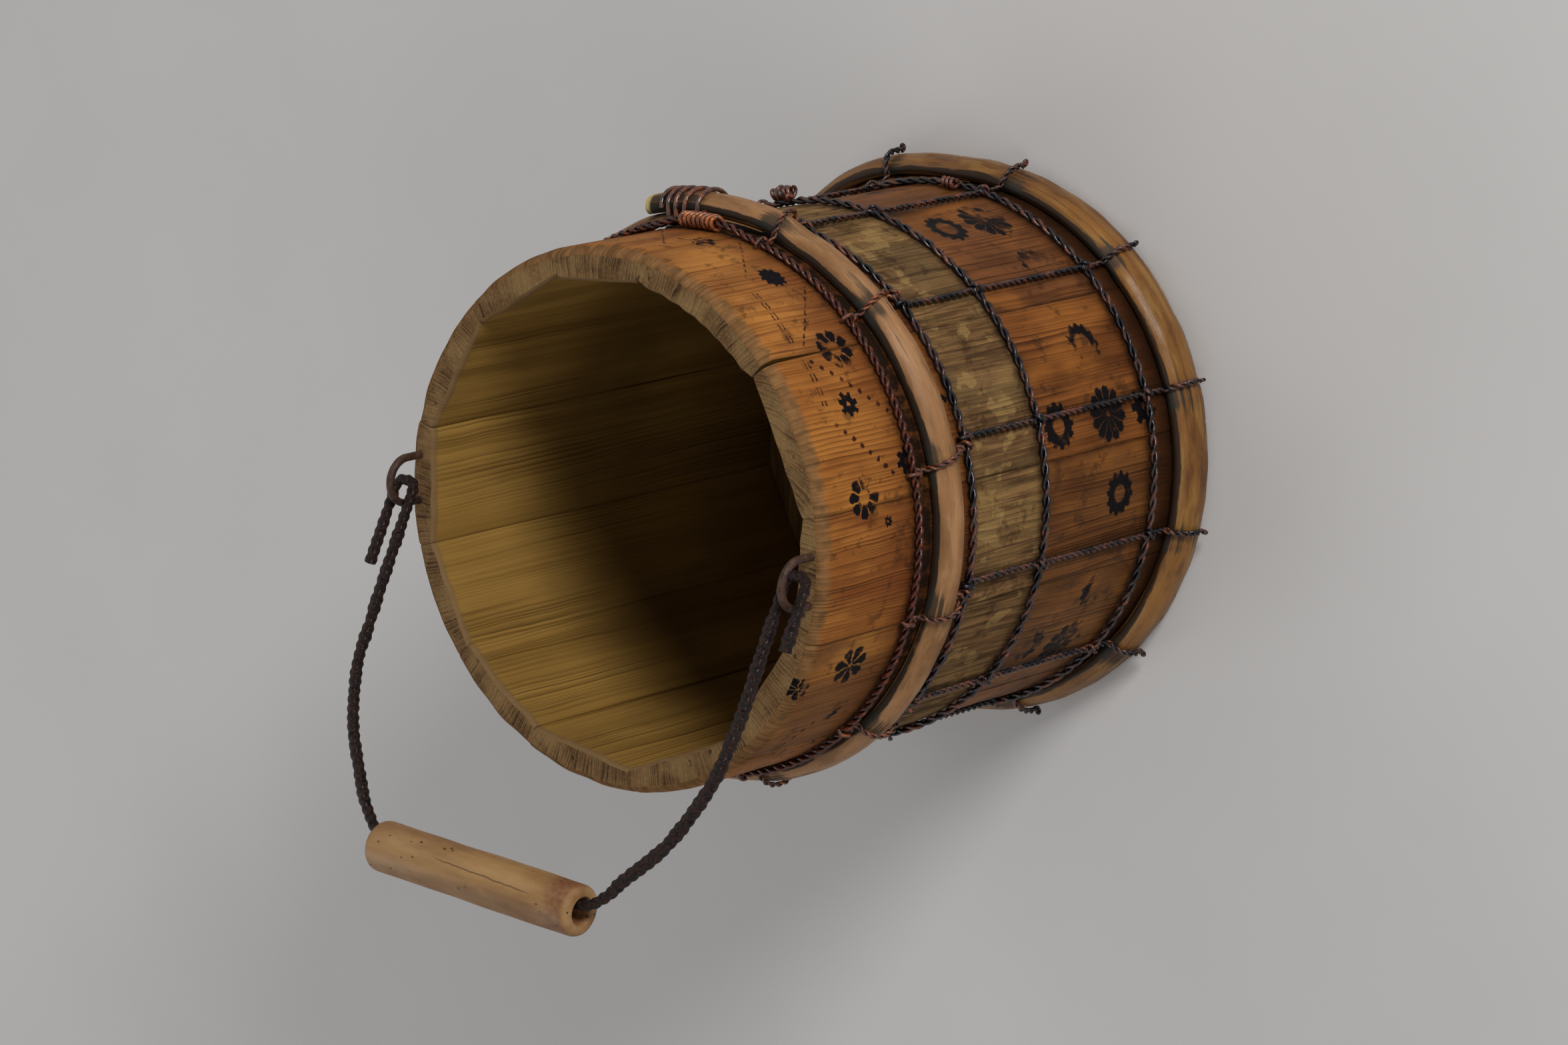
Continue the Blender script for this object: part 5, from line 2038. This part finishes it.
@dataclass
class Bail:
    """The bail with its hooked ends, and the loose grip."""

    d: float = 5.6
    hinge_h: float = 8.0
    drop: float = 156.0
    shoulder: float = 60.0
    hook_w: float = 11.0
    tails: tuple[float, float] = (32.0, 41.0)
    rest: float = 65.0
    hook_bend: float = 4.0
    entry_bend: float = 14.0
    entry_depth: float = 3.0
    grip_l: float = 120.0
    grip_d: float = 23.0
    bore: float = 11.5
    play: float = 0.3
    grip_round: float = 3.5

    def half(self, tail: float) -> Array:
        """The wire's line from a tail to the middle, as places along X and along the leg."""
        middle = FORM.rim_r - 7
        leg, tail_x = middle - self.hook_w / 2, middle + self.hook_w / 2
        entry = self.grip_l / 2 - self.entry_depth
        rise = self.drop - self.shoulder - self.entry_bend
        run = leg - entry - self.entry_bend
        angle = 2 * math.atan(run / rise)
        big = rise / math.sin(angle) + self.entry_bend
        parts = [np.array([[tail_x, s] for s in np.linspace(tail, self.hook_bend + 1, 12)])]
        b = self.hook_bend
        for centre, start, end in (((tail_x - b, b), 0, -90), ((leg + b, b), 270, 180)):
            q = np.radians(np.linspace(start, end, 12))
            parts.append(np.stack([centre[0] + b * np.cos(q), centre[1] + b * np.sin(q)], axis=-1))
        parts.append(np.array([[leg, s] for s in np.linspace(b + 1, self.shoulder - 1, 22)]))
        q = np.linspace(0, angle, 40)
        parts.append(np.stack([leg - big + big * np.cos(q), self.shoulder + big * np.sin(q)], axis=-1))
        q = np.linspace(angle + 0.05, math.pi / 2, 14)
        e = self.entry_bend
        parts.append(np.stack([entry + e * np.cos(q), self.drop - e + e * np.sin(q)], axis=-1))
        parts.append(np.array([[x, self.drop] for x in np.linspace(entry - 2, 0, 20)]))
        return np.concatenate(parts)

    def lean(self, points: Array) -> Array:
        """Turn points from the bail's own plane to its rest."""
        a = math.radians(self.rest)
        x, y, s = points.T
        return np.stack([x, y * math.cos(a) - s * math.sin(a),
                         FORM.height + self.hinge_h + y * math.sin(a) + s * math.cos(a)], axis=-1)

    def wire(self, effects: Effects) -> None:
        """Build and dress the bail's wire."""
        right, left = self.half(self.tails[0]), self.half(self.tails[1])
        left[:, 0] *= -1
        line = np.concatenate([right, left[::-1][1:]])
        rows, t = fine(line, 0.9)
        free = smooth((rows[:, 1] - 50) / 30) * smooth((150 - rows[:, 1]) / 8)
        rows[:, 0] += free * (0.8 * np.sin(t / 17) + 0.45 * np.sin(t / 6.3) - 0.4)
        points = self.lean(np.column_stack([rows[:, 0], 0.6 * np.sin(t / 9) * free, rows[:, 1]]))
        a = math.radians(self.rest)
        side = np.tile([0.0, math.cos(a), math.sin(a)], (len(points), 1))
        zero = np.zeros(len(points))
        swollen = 1 + (0.1 + 0.1 * smooth(points[:, 0] / 60)) * smooth((rows[:, 1] - 14) / 12) * smooth(
            (self.drop - 8 - rows[:, 1]) / 6)
        size = self.d / 2 * swollen * (1.0 - 0.05 * (1 + ripple(t, 0 * t, 11, 3)))
        iron = IronWire("bail_iron_rust", steel="0B090A", rust_deep="0F0A0A", rust_bright="4E2A1E", amount=0.8,
                        patch=330.0, grain=1300.0, depth=0.0012, shine=0.36, dull=0.55, varnish=0.05,
                        mirror=0.2).material(effects)
        lay = t * 2 * math.pi / 8.6 + 0.5 * np.sin(t / 13)
        piece = StrandTree().make("bail_wire_iron", Path(points, side, lay, zero, size), iron, Strands=1, Sides=20,
                                  Seed=70.0, Roughness=0.0002, Lump_Size=0.0024, Rib=0.00055)
        hand_over(piece, "bail", "bail_iron", "bail_wire")

    def grip(self, effects: Effects) -> None:
        """Turn, bore and dress the grip."""
        half, r, b, g = self.grip_l / 2, self.grip_d / 2, self.bore / 2, self.grip_round
        q = np.radians(np.linspace(90, 0, 9))
        right = np.stack([half - g + g * np.sin(q), r - g + g * np.cos(q)], axis=-1)
        body = np.stack([np.linspace(-half + g + 2, half - g - 2, 70), np.full(70, r)], axis=-1)
        left = np.stack([-half + g - g * np.sin(q[::-1]), r - g + g * np.cos(q[::-1])], axis=-1)
        bore = [[half, b + 1.0], [half - 0.5, b + 0.4], [half - 2, b], [half / 2, b], [0, b], [-half / 2, b],
                [2 - half, b], [0.5 - half, b + 0.4], [-half, b + 1.0]]
        profile = np.concatenate([left[::-1], body, right[::-1], bore])
        steps = 96
        turn = np.linspace(0, 2 * math.pi, steps, endpoint=False)[:, None]
        x = profile[None, :, 0] + 0 * turn
        wave = 0.14 * (1 + ripple(x * 0.35, 11 * np.sin(turn) + 0 * x, 12, 5)) * (profile[None, :, 1] > b + 2)
        radius = profile[None, :, 1] - wave
        s = self.drop + self.bore / 2 - self.d / 2 - self.play
        points = self.lean(np.stack([x, radius * np.sin(turn), s + radius * np.cos(turn)], axis=-1).reshape(-1, 3))
        faces = grid_faces(steps, profile.shape[0], True, True)
        if enclosed(points, faces) < 0:
            faces = faces[:, ::-1]
        mesh = mesh_of("bail_grip_wood", points, faces)
        piece = add_piece("bail_grip_wood", mesh, [GripWood("grip_turned_wood").material(effects)])
        hand_over(piece, "grip", "grip_wood", "bail_grip")

    def build(self, effects: Effects) -> None:
        """Build the wire and the grip."""
        self.wire(effects)
        self.grip(effects)


@dataclass(frozen=True)
class Lamp:
    """A soft area light that looks at the bucket's middle."""

    name: str
    place: tuple[float, float, float]
    size: float
    power: float
    tint: Colour = (1.0, 1.0, 1.0, 1.0)


@dataclass
class Studio:
    """Camera, lamps, pale surroundings and floor."""

    eye: tuple[float, float, float] = (1.0313, 0.3853, 1.4265)
    right: tuple[float, float, float] = (0.77079, 0.03898, -0.63590)
    up: tuple[float, float, float] = (-0.18204, 0.96999, -0.16118)
    back: tuple[float, float, float] = (0.61053, 0.23999, 0.75475)
    lens: float = 84.3
    floor_half: float = 6.0
    lamps: tuple[Lamp, ...] = (
        Lamp("key", (1.5, 1.6, 1.08), 0.7, 41.0, (1.0, 0.98, 0.95, 1.0)),
        Lamp("front", (1.7, -0.5, 1.7), 1.2, 7.0),
        Lamp("side", (-1.4, 1.3, 1.3), 1.2, 6.0),
        Lamp("low", (0.6, -1.7, 0.9), 1.2, 3.0),
        Lamp("back", (-1.5, -1.1, 1.1), 1.2, 8.0),
    )
    aim: tuple[float, float, float] = (0.0, 0.0, 0.13)

    def camera(self) -> None:
        """Set up the camera at the photograph's place."""
        data = bpy.data.cameras.new("camera")
        data.lens = self.lens
        data.sensor_width = 36.0
        camera = bpy.data.objects.new("camera", data)
        turn = Matrix((self.right, self.up, self.back)).transposed().to_4x4()
        camera.matrix_world = Matrix.Translation(self.eye) @ turn
        bpy.context.scene.collection.objects.link(camera)
        bpy.context.scene.camera = camera

    def light(self) -> None:
        """Hang the lamps and colour the surroundings."""
        for lamp in self.lamps:
            data = bpy.data.lights.new(lamp.name, "AREA")
            data.shape = "DISK"
            data.size = lamp.size
            data.energy = lamp.power
            data.color = lamp.tint[:3]
            hung = bpy.data.objects.new(lamp.name, data)
            way = Vector(self.aim) - Vector(lamp.place)
            hung.matrix_world = Matrix.Translation(lamp.place) @ way.to_track_quat("-Z", "Y").to_matrix().to_4x4()
            bpy.context.scene.collection.objects.link(hung)
        world = bpy.data.worlds.new("surroundings")
        bpy.context.scene.world = world
        world.use_nodes = True
        world.node_tree.nodes.clear()
        sheet = NodeSheet(world.node_tree)
        rays = sheet.add("ShaderNodeLightPath")
        seen = sheet.most(rays.outputs["Is Camera Ray"], rays.outputs["Is Glossy Ray"],
                          rays.outputs["Is Transmission Ray"])
        dim = sheet.add("ShaderNodeBackground", {"Color": colour("E9E8E6"), "Strength": 0.31})
        pale = sheet.add("ShaderNodeBackground", {"Color": colour("DEDDDB"), "Strength": 0.9})
        mix = sheet.add("ShaderNodeMixShader", {0: seen, 1: dim.outputs[0], 2: pale.outputs[0]})
        output = sheet.add("ShaderNodeOutputWorld")
        sheet.feed(output.inputs["Surface"], mix.outputs[0])

    def floor(self, effects: Effects) -> None:
        """Lay the floor."""
        h = self.floor_half * 1000
        points = np.array([[-h, -h, 0], [h, -h, 0], [h, h, 0], [-h, h, 0]])
        mesh = bpy.data.meshes.new("floor")
        mesh.from_pydata((points * MM).tolist(), [], [(0, 1, 2, 3)])
        floor = add_piece("floor", mesh, [PaleFloor("pale_floor").material(effects)])

    def build(self, effects: Effects) -> None:
        """Set up everything that isn't the bucket."""
        bpy.context.scene.view_settings.view_transform = "Standard"
        self.camera()
        self.light()
        self.floor(effects)


def main() -> None:
    """Build the pieces in order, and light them."""
    logging.basicConfig(level=logging.INFO, format="%(message)s")
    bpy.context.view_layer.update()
    effects = Effects()
    for part in (Studio(), Wall(), Bottom(), Hoops(), WireNet(), Staples(), Bail()):
        part.build(effects)


if __name__ == "__main__":
    main()
